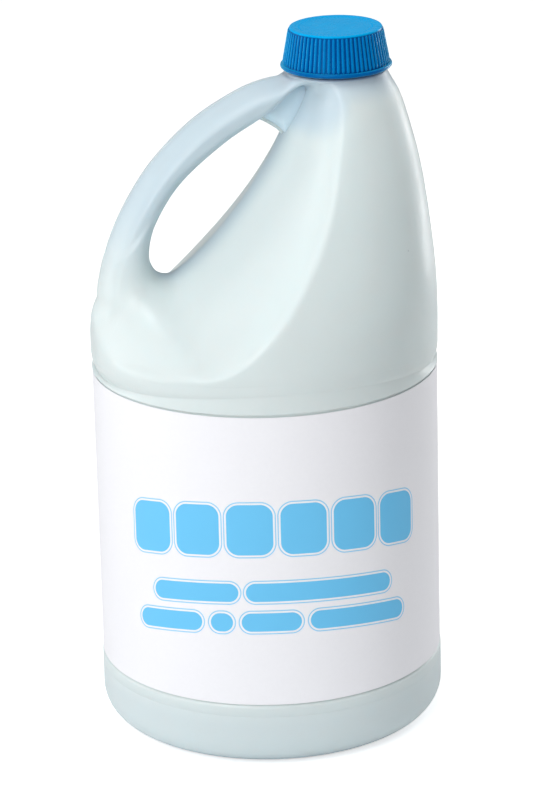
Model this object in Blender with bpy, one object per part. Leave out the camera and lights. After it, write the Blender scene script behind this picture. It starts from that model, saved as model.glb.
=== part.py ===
"""A blow-moulded bleach bottle with a pinched-in handle, its screw cap, the cap's liner and a wrap label.

The bottle comes from a two-part mould that opens along Y, so each half of it is a relief over the parting
plane: a half depth for each place (x, z), cut at a wavy groove into a turned lower body. Lengths are in
metres, +Z is up, and the origin is the centre of the ring that the bottle stands on. The handle is at -X
and the neck towards +X.
"""

import math

import bmesh
import bpy
import numpy as np

MM = 0.001

# Lower body
BODY_RADIUS = 70.2 * MM
WALL = 1.2 * MM
HEEL_RADIUS = 12.0 * MM
FOOT_WIDTH = 4.5 * MM
PUSH_UP_HEIGHT = 7.0 * MM
PANEL_DEPTH = 0.8 * MM
PANEL_BOTTOM_Z = 27.6 * MM
PANEL_TOP_Z = 149.8 * MM
PANEL_STEP_HEIGHT = 1.4 * MM

# Groove above the label: it runs higher at the front and back than at the sides
GROOVE_DEPTH = 1.7 * MM
GROOVE_ABOVE_PANEL = 1.6 * MM
GROOVE_RISE = 6.6 * MM
GROOVE_FLANK_HEIGHT = 5.6 * MM

# Screw cap
CAP_TOP_Z = 286.1 * MM
CAP_HEIGHT = 16.1 * MM
CAP_TOP_RADIUS = 18.75 * MM
CAP_SKIRT_RADIUS = 21.6 * MM
CAP_BEAD_RADIUS = 22.25 * MM
CAP_BEAD_HEIGHT = 1.5 * MM
CAP_EDGE_RADIUS = 0.7 * MM
CAP_TOP_THICKNESS = 1.6 * MM
CAP_BORE_GAP = 1.4 * MM
RIB_COUNT = 68
RIB_DEPTH = 0.55 * MM

# Shoulder, from the seam above the groove to the ring under the neck
SEAM_Z = PANEL_TOP_Z + 8.2 * MM
SEAM_RISE = 4.6 * MM
ROUND_Z = SEAM_Z + 6.0 * MM
ROUND_POWER = 1.9
NECK_X = 0.456 * BODY_RADIUS
SHOULDER_RING_RADIUS = 20.3 * MM
SHOULDER_TOP_Z = CAP_TOP_Z - CAP_HEIGHT - 1.1 * MM
SHOULDER_RING_Z = SHOULDER_TOP_Z - 1.1 * MM

# Handle and finger hole
HANDLE_DEPTH = 25.0 * MM
HANDLE_EDGE_RADIUS = 9.0 * MM
HOLE_EDGE_RADIUS = 6.5 * MM
FUNNEL_SLOPE = 2.7
PAD_SLOPE = 1.3
PAD_X = -0.94 * BODY_RADIUS
PAD_WIDTH = 46.0 * MM
FUNNEL_BLEND = 5.0 * MM
WEB_THICKNESS = 3.0 * MM
LEFT_FADE_Z = SEAM_Z + 24.0 * MM
LEFT_FADE_HEIGHT = 26.0 * MM
PAD_TOP_Z = SEAM_Z + 42.0 * MM
HANDLE_FADE = 12.0 * MM
RIM_SOFTNESS = 5.0 * MM
SLOPE_SOFTNESS = 4.0 * MM
PAD_SOFTNESS = 14.0 * MM
HANDLE_SOFTNESS = 6.0 * MM
RIDGE_SOFTNESS = 34.0 * MM
SEAM_FADE_HEIGHT = 9.0 * MM

# Neck finish
NECK_RADIUS = 15.3 * MM
NECK_WALL = 1.7 * MM
NECK_LIP_RADIUS = 0.5 * MM
SEAT_GAP = 0.3 * MM

# Liner and label
LINER_THICKNESS = 1.0 * MM
LINER_CLEARANCE = 0.35 * MM
LABEL_BOTTOM_Z = PANEL_BOTTOM_Z + 0.4 * MM
LABEL_TOP_Z = PANEL_TOP_Z - 0.4 * MM
LABEL_THICKNESS = 0.2 * MM
LABEL_SEAM_WIDTH = 1.0 * MM

# Mesh steps
LABEL_STEPS = 96
OUTER_STEPS = {"half_ring": 28, "right": 18, "neck": 14, "left": 24, "heel": 6,
               "edge_rows": (0.9, 2.8, 6.0), "between": 2, "ridge_rows": (-1.0, -0.35, 0.35, 1.0), "beyond": 3}
INNER_STEPS = {"half_ring": 18, "right": 8, "neck": 14, "left": 15, "heel": 4,
               "edge_rows": (2.2,), "between": 2, "ridge_rows": (-0.7, 0.7), "beyond": 1}
RIDGE_BAND = 12.0 * MM

# Outlines in the parting plane as (x, z), drawn in millimetres for a body of this radius and a shoulder of
# this height, with z from the seam at the sides. They follow the real radius and height.
DRAWN_RADIUS = 70.2
DRAWN_HEIGHT = 109.8
HANDLE_BACK = [(-81.5, 0.0), (-75.9, 6.5), (-71.8, 12.7), (-69.5, 19.8), (-67.8, 23.5), (-66.7, 31.6),
               (-62.0, 47.9), (-54.1, 63.9), (-43.1, 79.3), (-26.9, 94.3), (-9.7, 104.3), (1.5, 108.3)]
BODY_RIGHT = [(70.2, 0.0), (70.1, 10.0), (69.4, 23.7), (68.0, 40.6), (66.3, 57.3), (63.9, 74.0),
              (60.2, 90.6), (57.2, 100.5), (54.2, 106.2)]
HOLE_BOTTOM = [(-44.6, 35.0), (-39.8, 31.6), (-34.0, 33.2)]
HOLE_FRONT = [(-20.7, 44.2), (-7.2, 59.7), (3.4, 75.4), (10.5, 89.0)]
WEB_CORNER = [(16.5, 100.5), (17.6, 105.2), (13.2, 103.8)]
HOLE_UPPER = [(3.0, 95.4), (-14.2, 85.1), (-32.1, 70.1), (-42.7, 54.5), (-46.1, 42.3)]
WEB_OUTLINE = [(-1.0, 94.2), (3.4, 91.2), (8.6, 85.8), (13.0, 85.0), (21.0, 100.0), (20.0, 108.0),
               (10.0, 106.5), (1.0, 99.5)]
FUNNEL_LEFT = [(-92.0, 14.0), (-61.0, 23.5), (-49.0, 27.6), (-39.5, 30.4)]
FUNNEL_TOP = [(16.6, 102.1), (28.0, 135.0)]


def lerp(a, b, t):
    return a + (b - a) * t


def smooth_step(t):
    t = np.clip(t, 0.0, 1.0)
    return t * t * (3.0 - 2.0 * t)


def smooth_min(a, b, softness):
    """The smaller of two depths, rounded where they cross. It never falls below zero."""
    least = np.minimum(a, b)
    soft = np.maximum(np.minimum(softness, least), 1e-9)
    return least - np.maximum(soft - np.abs(a - b), 0.0) ** 2 / (4.0 * soft)


def smooth_max(a, b, softness):
    most = np.maximum(a, b)
    soft = np.maximum(np.minimum(softness, np.minimum(a, b)), 1e-9)
    return most + np.maximum(soft - np.abs(a - b), 0.0) ** 2 / (4.0 * soft)


def spline(points, steps=12):
    """A smooth line through the points, as rows of (x, z)."""
    points = np.array(points, float)
    before = 2.0 * points[0] - points[1]
    after = 2.0 * points[-1] - points[-2]
    knots = np.vstack([before, points, after])
    rows = []
    for p0, p1, p2, p3 in zip(knots[:-3], knots[1:-2], knots[2:-1], knots[3:]):
        for t in np.arange(steps) / steps:
            rows.append(0.5 * (2.0 * p1 + (p2 - p0) * t + (2.0 * p0 - 5.0 * p1 + 4.0 * p2 - p3) * t * t
                               + (3.0 * p1 - p0 - 3.0 * p2 + p3) * t ** 3))
    rows.append(points[-1])
    return np.array(rows)


def evenly(line, count, crowding=1.0):
    """The line's own shape in count + 1 points, at equal distances or, with crowding over 1, closer to its end."""
    lengths = np.concatenate([[0.0], np.cumsum(np.linalg.norm(np.diff(line, axis=0), axis=1))])
    places = lengths[-1] * (1.0 - (1.0 - np.arange(count + 1) / count) ** crowding)
    return np.column_stack([np.interp(places, lengths, line[:, k]) for k in (0, 1)])


def left_normals(line):
    """Unit normals on the left of the line's direction."""
    along = np.gradient(line, axis=0)
    along /= np.linalg.norm(along, axis=1, keepdims=True)
    return np.column_stack([-along[:, 1], along[:, 0]])


def distance_to(line, x, z):
    """Distance from each place to the line, and whether the place is on the line's right."""
    places = np.column_stack([np.ravel(x), np.ravel(z)])
    starts = line[:-1]
    runs = np.diff(line, axis=0)
    ahead = places[:, None, :] - starts[None, :, :]
    share = np.clip((ahead * runs).sum(axis=2) / (runs ** 2).sum(axis=1), 0.0, 1.0)
    away = ahead - share[:, :, None] * runs
    far = np.linalg.norm(away, axis=2)
    nearest = far.argmin(axis=1)
    rows = np.arange(len(places))
    side = runs[nearest, 0] * ahead[rows, nearest, 1] - runs[nearest, 1] * ahead[rows, nearest, 0]
    return far[rows, nearest].reshape(np.shape(x)), (side < 0.0).reshape(np.shape(x))


def placed(points):
    """The drawn points in metres at the real radius and height."""
    height = SHOULDER_RING_Z - SEAM_Z
    return [(x / DRAWN_RADIUS * BODY_RADIUS, SEAM_Z + z / DRAWN_HEIGHT * height) for x, z in points]


HANDLE_LINE = spline(placed(HANDLE_BACK) + [(NECK_X - SHOULDER_RING_RADIUS, SHOULDER_RING_Z)])
RIGHT_LINE = spline(placed(BODY_RIGHT) + [(NECK_X + SHOULDER_RING_RADIUS, SHOULDER_RING_Z)])


def closed_spline(points, steps=10):
    """A smooth closed line through the points."""
    points = list(points)
    doubled = points[-2:] + points + points[:2]
    line = spline(doubled, steps)
    return line[2 * steps:(2 + len(points)) * steps + 1]


HOLE_LINE = closed_spline(placed(HOLE_BOTTOM + HOLE_FRONT + WEB_CORNER + HOLE_UPPER))
# Where the handle's face ends and the slope up to the round body begins
FUNNEL_LINE = spline(placed(FUNNEL_LEFT + HOLE_FRONT + FUNNEL_TOP))


def round_radius(z):
    """Radius of the shoulder's round part at height z."""
    t = np.clip((z - ROUND_Z) / (SHOULDER_RING_Z - ROUND_Z), 0.0, 1.0)
    return lerp(BODY_RADIUS, SHOULDER_RING_RADIUS, t ** ROUND_POWER)


def dome_depth(x, z, inset):
    """Half depth of the round shoulder alone."""
    radius = round_radius(z)
    centre = np.interp(z, RIGHT_LINE[:, 1], RIGHT_LINE[:, 0]) - radius
    fade = smooth_step((z - LEFT_FADE_Z) / LEFT_FADE_HEIGHT)
    left_reach = lerp(centre + BODY_RADIUS, radius, fade)
    reach = np.where(x < centre, left_reach, radius) - inset
    return (radius - inset) * np.sqrt(np.maximum(1.0 - ((x - centre) / reach) ** 2, 0.0))


def funnel_depth(x, z, inset):
    """Half depth of the slope that rises from the handle's face, past the hole, to the round shoulder."""
    away, on_body = distance_to(FUNNEL_LINE, x, z)
    away = np.where(on_body, away, -away)
    slope = lerp(PAD_SLOPE, FUNNEL_SLOPE, smooth_step((x - PAD_X) / PAD_WIDTH))
    slant = np.hypot(1.0, slope) - 1.0
    funnel = HANDLE_DEPTH / 2.0 - inset + slope * FUNNEL_BLEND * np.logaddexp(0.0, away / FUNNEL_BLEND)
    return funnel - inset * slant * smooth_step(0.5 + away / (2.0 * FUNNEL_BLEND))


def half_depth(x, z, inset):
    """Half depth of the shoulder at (x, z), or of the space inside it when inset is the wall."""
    from_hole = np.maximum(distance_to(HOLE_LINE, x, z)[0] - inset, 0.0)
    nose = np.sqrt(2.0 * (HOLE_EDGE_RADIUS - inset) * from_hole + (FUNNEL_SLOPE * from_hole) ** 2)
    from_back = np.maximum(distance_to(HANDLE_LINE, x, z)[0] - inset, 0.0)
    edge = np.sqrt(2.0 * (HANDLE_EDGE_RADIUS - inset) * from_back + (2.2 * from_back) ** 2)
    face = np.full_like(x, HANDLE_DEPTH / 2.0 - inset)

    pad_edge = edge + 4.0 * np.maximum(z - PAD_TOP_Z, 0.0)
    slope = smooth_min(funnel_depth(x, z, inset), nose, SLOPE_SOFTNESS)
    slope = smooth_min(slope, pad_edge, PAD_SOFTNESS)
    dome = dome_depth(x, z, inset)
    body = smooth_min(dome, slope, RIDGE_SOFTNESS)
    handle = smooth_min(smooth_min(edge, nose, HANDLE_SOFTNESS), face, HANDLE_SOFTNESS)
    away, on_body = distance_to(FUNNEL_LINE, x, z)
    handle = handle * smooth_step(1.0 - np.where(on_body, away, 0.0) / HANDLE_FADE)
    shoulder = smooth_max(body, handle, RIM_SOFTNESS)
    above_seam = (z - seam_z_at(x, inset)) / SEAM_FADE_HEIGHT
    return lerp(dome, shoulder, smooth_step(above_seam))


def seam_z_at(x, inset):
    """Height of the seam where it passes in front of x."""
    across = np.clip(x / (BODY_RADIUS - inset), -1.0, 1.0)
    return SEAM_Z + SEAM_RISE * (1.0 - across ** 2)


def half_ring(radius, z, steps, centre=0.0, rise=0.0):
    """Points from the left side round the front to the right side. rise lifts the front."""
    rows = []
    for i in range(steps + 1):
        angle = math.pi * i / steps
        lift = rise * math.sin(angle) ** 2 if 0 < i < steps else 0.0
        depth = radius * math.sin(angle) if 0 < i < steps else 0.0
        rows.append((centre - radius * math.cos(angle), -depth, z + lift))
    return rows


def upper_shell(inset, steps):
    """The shoulder with its handle, as closed rows from the finger hole's edge to the outer outline."""
    seam = half_ring(BODY_RADIUS - inset, SEAM_Z, steps["half_ring"], rise=SEAM_RISE)
    ring = half_ring(SHOULDER_RING_RADIUS - inset, SHOULDER_RING_Z, steps["neck"], NECK_X)
    right = evenly(RIGHT_LINE, steps["right"], 1.3)
    right = right + left_normals(right) * inset
    back = HANDLE_LINE[HANDLE_LINE[:, 1] >= SEAM_Z - 1e-9]
    back = np.column_stack([np.maximum(back[:, 0], -BODY_RADIUS), back[:, 1]])
    back = evenly(back, steps["left"])
    back = back - left_normals(back) * inset
    outer = seam + [(x, 0.0, z) for x, z in right[1:-1]]
    outer += ring[:0:-1]
    outer += [ring[0]] + [(x, 0.0, z) for x, z in back[-2:0:-1]]

    hole = hole_points(inset, steps)
    ridges = ridge_shares(outer, hole, inset, steps["left"])
    rows = []
    for point, (hx, hz), ridge in zip(outer, hole, ridges):
        length = math.hypot(point[0] - hx, point[2] - hz)
        shares = row_shares(ridge, length, steps)[1:-1]
        x, z = lerp(hx, point[0], shares), lerp(hz, point[2], shares)
        depth = half_depth(x, z, inset)
        between = [(float(a), -float(b), float(c)) for a, b, c in zip(x, depth, z)]
        rows.append([(hx, 0.0, hz)] + between + [point])
    return rows


def row_shares(ridge, length, steps):
    """Places of the rows on a spoke: close together at the hole, at the ridge and at the outer end."""
    band = min(RIDGE_BAND / length, 0.35 * ridge, 0.35 * (1.0 - ridge))
    start, end = ridge - band, ridge + band
    edge = np.array(steps["edge_rows"]) * MM / length
    near = edge * min(1.0, 0.7 * start / edge[-1])
    between = lerp(near[-1], start, np.arange(1, steps["between"] + 1) / (steps["between"] + 1))
    middle = ridge + band * np.array(steps["ridge_rows"])
    far = 1.0 - edge[::-1] * min(1.0, 0.7 * (1.0 - end) / edge[-1])
    beyond = lerp(end, far[0], np.arange(1, steps["beyond"] + 1) / (steps["beyond"] + 1))
    return np.concatenate([[0.0], near, between, middle, beyond, far, [1.0]])


def ridge_shares(outer, hole, inset, left_steps):
    """Where each spoke crosses the ridge between the slope round the hole and the round shoulder."""
    samples = np.linspace(0.02, 0.98, 193)
    shares = []
    for point, (hx, hz) in zip(outer, hole):
        x, z = lerp(hx, point[0], samples), lerp(hz, point[2], samples)
        from_hole = distance_to(HOLE_LINE, x, z)[0]
        below = dome_depth(x, z, inset) < np.minimum(funnel_depth(x, z, inset), FUNNEL_SLOPE * from_hole)
        first = samples[below.argmax()] if below.any() else 1.0
        shares.append(min(max(first, 0.08), 0.92))
    shares[-left_steps + 1:] = [0.5] * (left_steps - 1)
    shares = np.array(shares)
    for _ in range(2):
        shares = (np.roll(shares, 1) + 2.0 * shares + np.roll(shares, -1)) / 4.0
    return shares


def hole_points(inset, steps):
    """Points on the finger hole's edge, one for each point of the outer outline."""
    corners = placed([HOLE_BOTTOM[0], HOLE_FRONT[2], WEB_CORNER[0], WEB_CORNER[2]])
    places = []
    for corner in corners:
        places.append(int(np.linalg.norm(HOLE_LINE[:-1] - corner, axis=1).argmin()))
    stretches = [steps["half_ring"], steps["right"], steps["neck"], steps["left"]]
    points = []
    line = HOLE_LINE[:-1]
    for start, end, count in zip(places, places[1:] + places[:1], stretches):
        span = (end - start) % len(line)
        stretch = line[(start + np.arange(span + 1)) % len(line)]
        points.extend(evenly(stretch, count)[:-1])
    points = np.array(points)
    wrapped = np.vstack([points[-1:], points, points[:1]])
    out = -left_normals(wrapped)[1:-1]
    return points + out * inset


def lower_rows(inset, heel_steps):
    """Half rings of the turned lower body, from under the seam down to the centre of the base."""
    full = BODY_RADIUS - inset
    panel = full - PANEL_DEPTH
    groove_z = PANEL_TOP_Z + GROOVE_ABOVE_PANEL
    rows = []
    for share in (1.0, 0.55, 0.22):
        z = groove_z + GROOVE_FLANK_HEIGHT * share
        rows.append((full - GROOVE_DEPTH * (1.0 - share) ** 2, z, GROOVE_RISE * (1.0 - 0.35 * share)))
    rows.append((full - GROOVE_DEPTH, groove_z, GROOVE_RISE))
    rows.append((full - 0.55 * GROOVE_DEPTH, groove_z - 0.3 * GROOVE_ABOVE_PANEL, 0.6 * GROOVE_RISE))
    rows.append((full - 0.1 * GROOVE_DEPTH, PANEL_TOP_Z + 0.25 * GROOVE_ABOVE_PANEL, 0.1 * GROOVE_RISE))
    rows.append((panel, PANEL_TOP_Z, 0.0))
    rows.append((panel, PANEL_BOTTOM_Z, 0.0))
    rows.append((full, PANEL_BOTTOM_Z - PANEL_STEP_HEIGHT, 0.0))
    for i in range(heel_steps + 1):
        angle = math.pi / 2.0 * i / heel_steps
        rows.append((full - HEEL_RADIUS + HEEL_RADIUS * math.cos(angle),
                     HEEL_RADIUS - HEEL_RADIUS * math.sin(angle) + inset, 0.0))
    foot = full - HEEL_RADIUS - FOOT_WIDTH
    rows.append((foot, inset, 0.0))
    for share in (0.35, 0.7, 1.0):
        rows.append((foot - 9.0 * MM * share, inset + PUSH_UP_HEIGHT * 0.85 * smooth_step(share), 0.0))
    rows.append((0.45 * foot, inset + PUSH_UP_HEIGHT, 0.0))
    return rows


def neck_rows(inset):
    """Half rings of the shoulder's top and the neck finish, from above the shoulder ring to the lip."""
    top = SHOULDER_TOP_Z - inset
    rows = [(SHOULDER_RING_RADIUS - inset - 0.5 * MM, lerp(SHOULDER_RING_Z, top, 0.7)),
            (SHOULDER_RING_RADIUS - inset - 1.6 * MM, top)]
    bore = inset * NECK_WALL / WALL
    rows.append((NECK_RADIUS - bore + 0.5 * MM, top))
    rows.append((NECK_RADIUS - bore, top + 0.5 * MM))
    lip = lip_z()
    turn = NECK_LIP_RADIUS if inset == 0.0 else -NECK_LIP_RADIUS
    rows.append((NECK_RADIUS - bore, lip - NECK_LIP_RADIUS))
    rows.append((NECK_RADIUS - bore - 0.3 * turn, lip - 0.3 * NECK_LIP_RADIUS))
    rows.append((NECK_RADIUS - bore - turn, lip))
    return rows


def lip_z():
    """Height of the bottle's lip: under the cap's top, the liner and their gaps."""
    return CAP_TOP_Z - CAP_TOP_THICKNESS - LINER_THICKNESS - 2.0 * SEAT_GAP


def add_strip(bm, upper, lower):
    """Quads between two half rings of vertices."""
    for a, b, c, d in zip(upper[:-1], upper[1:], lower[1:], lower[:-1]):
        bm.faces.new((a, b, c, d))


def add_wall(bm, inset, steps):
    """One wall of the bottle's front half, outer or inner. It returns the vertices at the lip."""
    grid = [[bm.verts.new(p) for p in row] for row in upper_shell(inset, steps)]
    for near, far in zip(grid, grid[1:] + grid[:1]):
        for k in range(len(near) - 1):
            bm.faces.new((near[k], near[k + 1], far[k + 1], far[k]))
    half = steps["half_ring"]
    last = [row[-1] for row in grid[:half + 1]]
    for radius, z, rise in lower_rows(inset, steps["heel"]):
        ring = [bm.verts.new(p) for p in half_ring(radius, z, half, rise=rise)]
        add_strip(bm, last, ring)
        last = ring
    centre = bm.verts.new((0.0, 0.0, inset + PUSH_UP_HEIGHT))
    for a, b in zip(last[:-1], last[1:]):
        bm.faces.new((a, b, centre))
    start = half + steps["right"]
    last = [row[-1] for row in grid[start:start + steps["neck"] + 1]][::-1]
    for radius, z in neck_rows(inset):
        ring = [bm.verts.new(p) for p in half_ring(radius, z, steps["neck"], NECK_X)]
        add_strip(bm, last, ring)
        last = ring
    return last


def material(name, colour, roughness):
    mat = bpy.data.materials.new(name)
    mat.use_nodes = True
    shader = mat.node_tree.nodes["Principled BSDF"]
    shader.inputs["Base Color"].default_value = (*colour, 1.0)
    shader.inputs["Roughness"].default_value = roughness
    shader.inputs["Metallic"].default_value = 0.0
    return mat


def finish(bm, name, mat, smooth_angle=35.0, location=(0.0, 0.0, 0.0)):
    """Makes a bmesh a named object with its origin at location, its normals outward."""
    bmesh.ops.recalc_face_normals(bm, faces=bm.faces)
    bmesh.ops.translate(bm, vec=[-c for c in location], verts=bm.verts)
    mesh = bpy.data.meshes.new(name)
    bm.to_mesh(mesh)
    bm.free()
    mesh.shade_smooth()
    mesh.set_sharp_from_angle(angle=math.radians(smooth_angle))
    mesh.materials.append(mat)
    obj = bpy.data.objects.new(name, mesh)
    obj.location = location
    bpy.context.scene.collection.objects.link(obj)
    return obj


def web_plate():
    """The pinched web between the handle's root and the neck: both walls pressed flat."""
    outline = placed(WEB_OUTLINE)
    bm = bmesh.new()
    bottom = [bm.verts.new((x, -WEB_THICKNESS / 2.0, z)) for x, z in outline]
    face = bm.faces.new(bottom)
    made = bmesh.ops.extrude_face_region(bm, geom=[face])
    moved = [v for v in made["geom"] if isinstance(v, bmesh.types.BMVert)]
    bmesh.ops.translate(bm, vec=(0.0, WEB_THICKNESS, 0.0), verts=moved)
    return bm


def make_bottle(mat):
    bm = bmesh.new()
    outer = add_wall(bm, 0.0, OUTER_STEPS)
    inner = add_wall(bm, WALL, INNER_STEPS)
    add_strip(bm, outer, inner)
    bmesh.ops.mirror(bm, geom=bm.verts[:] + bm.edges[:] + bm.faces[:], axis="Y", merge_dist=1e-6)
    bmesh.ops.remove_doubles(bm, verts=bm.verts, dist=1e-6)
    bottle = finish(bm, "bottle", mat)
    web = finish(web_plate(), "web_tool", mat)
    web.hide_render = True
    web.display_type = "WIRE"
    join = bottle.modifiers.new("web", "BOOLEAN")
    join.operation = "UNION"
    join.object = web
    return bottle


def turned(profile, steps, centre_x, radius_at=None):
    """A solid turned from (radius, z) rows about the vertical line at centre_x. The ends close on the axis."""
    bm = bmesh.new()
    rings = []
    for row, (radius, z) in enumerate(profile):
        ring = []
        for i in range(steps):
            angle = 2.0 * math.pi * i / steps
            r = radius_at(row, radius, i) if radius_at else radius
            ring.append(bm.verts.new((centre_x + r * math.cos(angle), r * math.sin(angle), z)))
        rings.append(ring)
    for a, b in zip(rings[:-1], rings[1:]):
        for i in range(steps):
            j = (i + 1) % steps
            bm.faces.new((a[i], a[j], b[j], b[i]))
    for ring, z in ((rings[0], profile[0][1]), (rings[-1], profile[-1][1])):
        centre = bm.verts.new((centre_x, 0.0, z))
        for i in range(steps):
            bm.faces.new((ring[i], ring[(i + 1) % steps], centre))
    return bm


def make_cap(mat):
    bottom = CAP_TOP_Z - CAP_HEIGHT
    bore = NECK_RADIUS + CAP_BORE_GAP
    ceiling = CAP_TOP_Z - CAP_TOP_THICKNESS
    bead_top = bottom + CAP_BEAD_HEIGHT
    profile = [(bore, ceiling), (bore, bottom + 0.8 * MM), (bore + 0.8 * MM, bottom),
               (CAP_BEAD_RADIUS - 0.5 * MM, bottom), (CAP_BEAD_RADIUS, bottom + 0.5 * MM),
               (CAP_BEAD_RADIUS, bead_top - 0.4 * MM), (CAP_SKIRT_RADIUS, bead_top),
               (CAP_TOP_RADIUS + 0.3 * MM, CAP_TOP_Z - CAP_EDGE_RADIUS),
               (CAP_TOP_RADIUS - 0.3 * CAP_EDGE_RADIUS, CAP_TOP_Z - 0.25 * CAP_EDGE_RADIUS),
               (CAP_TOP_RADIUS - CAP_EDGE_RADIUS, CAP_TOP_Z)]
    ribbed_rows = (6, 7)

    def radius_at(row, radius, step):
        return radius - RIB_DEPTH if row in ribbed_rows and step % 2 else radius

    bm = turned(profile, 2 * RIB_COUNT, NECK_X, radius_at)
    return finish(bm, "screw_cap", mat, location=(NECK_X, 0.0, bottom))


def make_liner(mat):
    radius = NECK_RADIUS + CAP_BORE_GAP - LINER_CLEARANCE
    bottom = lip_z() + SEAT_GAP
    bm = turned([(radius, bottom), (radius, bottom + LINER_THICKNESS)], 48, NECK_X)
    return finish(bm, "cap_liner", mat, location=(NECK_X, 0.0, bottom))


def make_label(mat):
    """A strip wrapped round the panel. Its ends meet at the back with a narrow gap."""
    inner = BODY_RADIUS - PANEL_DEPTH + SEAT_GAP
    outer = inner + LABEL_THICKNESS
    half_gap = LABEL_SEAM_WIDTH / 2.0 / inner
    steps = LABEL_STEPS
    bm = bmesh.new()
    loops = []
    for i in range(steps + 1):
        angle = math.pi / 2.0 + half_gap + (2.0 * math.pi - 2.0 * half_gap) * i / steps
        loops.append([bm.verts.new((r * math.cos(angle), r * math.sin(angle), z)) for r, z in (
            (inner, LABEL_BOTTOM_Z), (outer, LABEL_BOTTOM_Z), (outer, LABEL_TOP_Z), (inner, LABEL_TOP_Z))])
    for a, b in zip(loops[:-1], loops[1:]):
        for k in range(4):
            bm.faces.new((a[k], a[(k + 1) % 4], b[(k + 1) % 4], b[k]))
    bm.faces.new(loops[0])
    bm.faces.new(loops[-1])
    return finish(bm, "label", mat)


def main():
    for obj in list(bpy.data.objects):
        bpy.data.objects.remove(obj)
    make_bottle(material("bottle_plastic", (0.78, 0.86, 0.88), 0.4))
    make_cap(material("cap_plastic", (0.0, 0.33, 0.75), 0.35))
    make_liner(material("liner_foam", (0.9, 0.9, 0.88), 0.8))
    make_label(material("label_film", (0.93, 0.93, 0.95), 0.45))


main()
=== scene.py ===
"""Looks of the bleach bottle: a smooth shell, a ribbed screw cap and a printed wrap label, in soft light.

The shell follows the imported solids' rules in far finer steps, with a steeper slope round the finger hole and
a sharper ridge. Lengths are in metres.
"""

import math

import bmesh
import bpy
import numpy as np
from mathutils import Matrix, Vector


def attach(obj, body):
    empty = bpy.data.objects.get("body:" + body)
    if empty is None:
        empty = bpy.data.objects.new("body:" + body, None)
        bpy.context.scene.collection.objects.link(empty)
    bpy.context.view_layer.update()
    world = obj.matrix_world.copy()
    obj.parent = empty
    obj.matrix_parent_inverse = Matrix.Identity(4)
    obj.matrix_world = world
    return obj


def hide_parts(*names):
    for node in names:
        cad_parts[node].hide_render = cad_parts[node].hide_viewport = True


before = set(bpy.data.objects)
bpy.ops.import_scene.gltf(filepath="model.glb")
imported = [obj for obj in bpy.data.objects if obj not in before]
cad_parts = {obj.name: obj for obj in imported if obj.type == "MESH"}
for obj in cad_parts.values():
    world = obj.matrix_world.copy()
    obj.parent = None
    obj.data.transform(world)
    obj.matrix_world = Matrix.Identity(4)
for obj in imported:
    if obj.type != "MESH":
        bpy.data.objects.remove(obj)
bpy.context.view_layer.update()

MM = 0.001

# Camera
CAMERA_AZIMUTH = math.radians(-12.0)
CAMERA_ELEVATION = math.radians(19.373)
CAMERA_ROLL = math.radians(-1.445)
CAMERA_DISTANCE = 1.5636
CAMERA_TARGET = Vector((0.00054, 0.0, 0.13226))
CAMERA_LENS = 172.89

# Lower body
BODY_RADIUS = 70.2 * MM
WALL = 1.2 * MM
HEEL_RADIUS = 12.0 * MM
FOOT_WIDTH = 4.5 * MM
PUSH_UP_HEIGHT = 7.0 * MM
PUSH_UP_FLANK_WIDTH = 9.0 * MM
PANEL_DEPTH = 0.8 * MM
PANEL_BOTTOM_Z = 27.6 * MM
PANEL_TOP_Z = 149.8 * MM
PANEL_STEP_HEIGHT = 1.4 * MM
HEEL_LINE_Z = 22.6 * MM
HEEL_LINE_DEPTH = 0.12 * MM
HEEL_LINE_WIDTH = 1.0 * MM

# Groove above the label
GROOVE_DEPTH = 1.7 * MM
GROOVE_ABOVE_PANEL = 1.6 * MM
GROOVE_RISE = 6.6 * MM
GROOVE_FLANK_HEIGHT = 5.6 * MM
GROOVE_FRONT_FADE = 0.85

# Screw cap
CAP_TOP_Z = 286.1 * MM
CAP_HEIGHT = 16.1 * MM
CAP_BOTTOM_Z = CAP_TOP_Z - CAP_HEIGHT
CAP_TOP_RADIUS = 18.75 * MM
CAP_SKIRT_RADIUS = 21.6 * MM
CAP_BEAD_RADIUS = 22.25 * MM
CAP_BEAD_HEIGHT = 1.5 * MM
CAP_EDGE_RADIUS = 0.7 * MM
CAP_TOP_THICKNESS = 1.6 * MM
CAP_BORE_GAP = 1.4 * MM
CAP_DISH_DEPTH = 0.18 * MM
RIB_COUNT = 68
RIB_DEPTH = 0.85 * MM
RIB_RADIUS = 0.6 * MM
DOT_COUNT = 60
DOT_RADIUS = 0.28 * MM
DOT_RING_RADIUS = 14.6 * MM

# Floor of the grooves between the ribs: a straight taper
CORE_FOOT_RADIUS = CAP_SKIRT_RADIUS - RIB_DEPTH
CORE_FOOT_Z = CAP_BOTTOM_Z + CAP_BEAD_HEIGHT + 0.3 * MM
CORE_TOP_RADIUS = CAP_TOP_RADIUS - 0.2 * MM
CORE_TOP_Z = CAP_TOP_Z - CAP_EDGE_RADIUS

# Shoulder
SEAM_Z = PANEL_TOP_Z + 8.2 * MM
SEAM_RISE = 4.6 * MM
ROUND_Z = SEAM_Z + 6.0 * MM
ROUND_POWER = 1.9
DEPTH_POWER = 1.5
SQUARENESS = 0.35
SQUARE_RISE = 40.0 * MM
SQUARE_FALL = 35.0 * MM
NECK_X = 0.456 * BODY_RADIUS
SHOULDER_RING_RADIUS = 20.3 * MM
SHOULDER_TOP_Z = CAP_BOTTOM_Z - 1.1 * MM
SHOULDER_RING_Z = SHOULDER_TOP_Z - 1.1 * MM
SHOULDER_ROUNDING = 1.4 * MM

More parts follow.
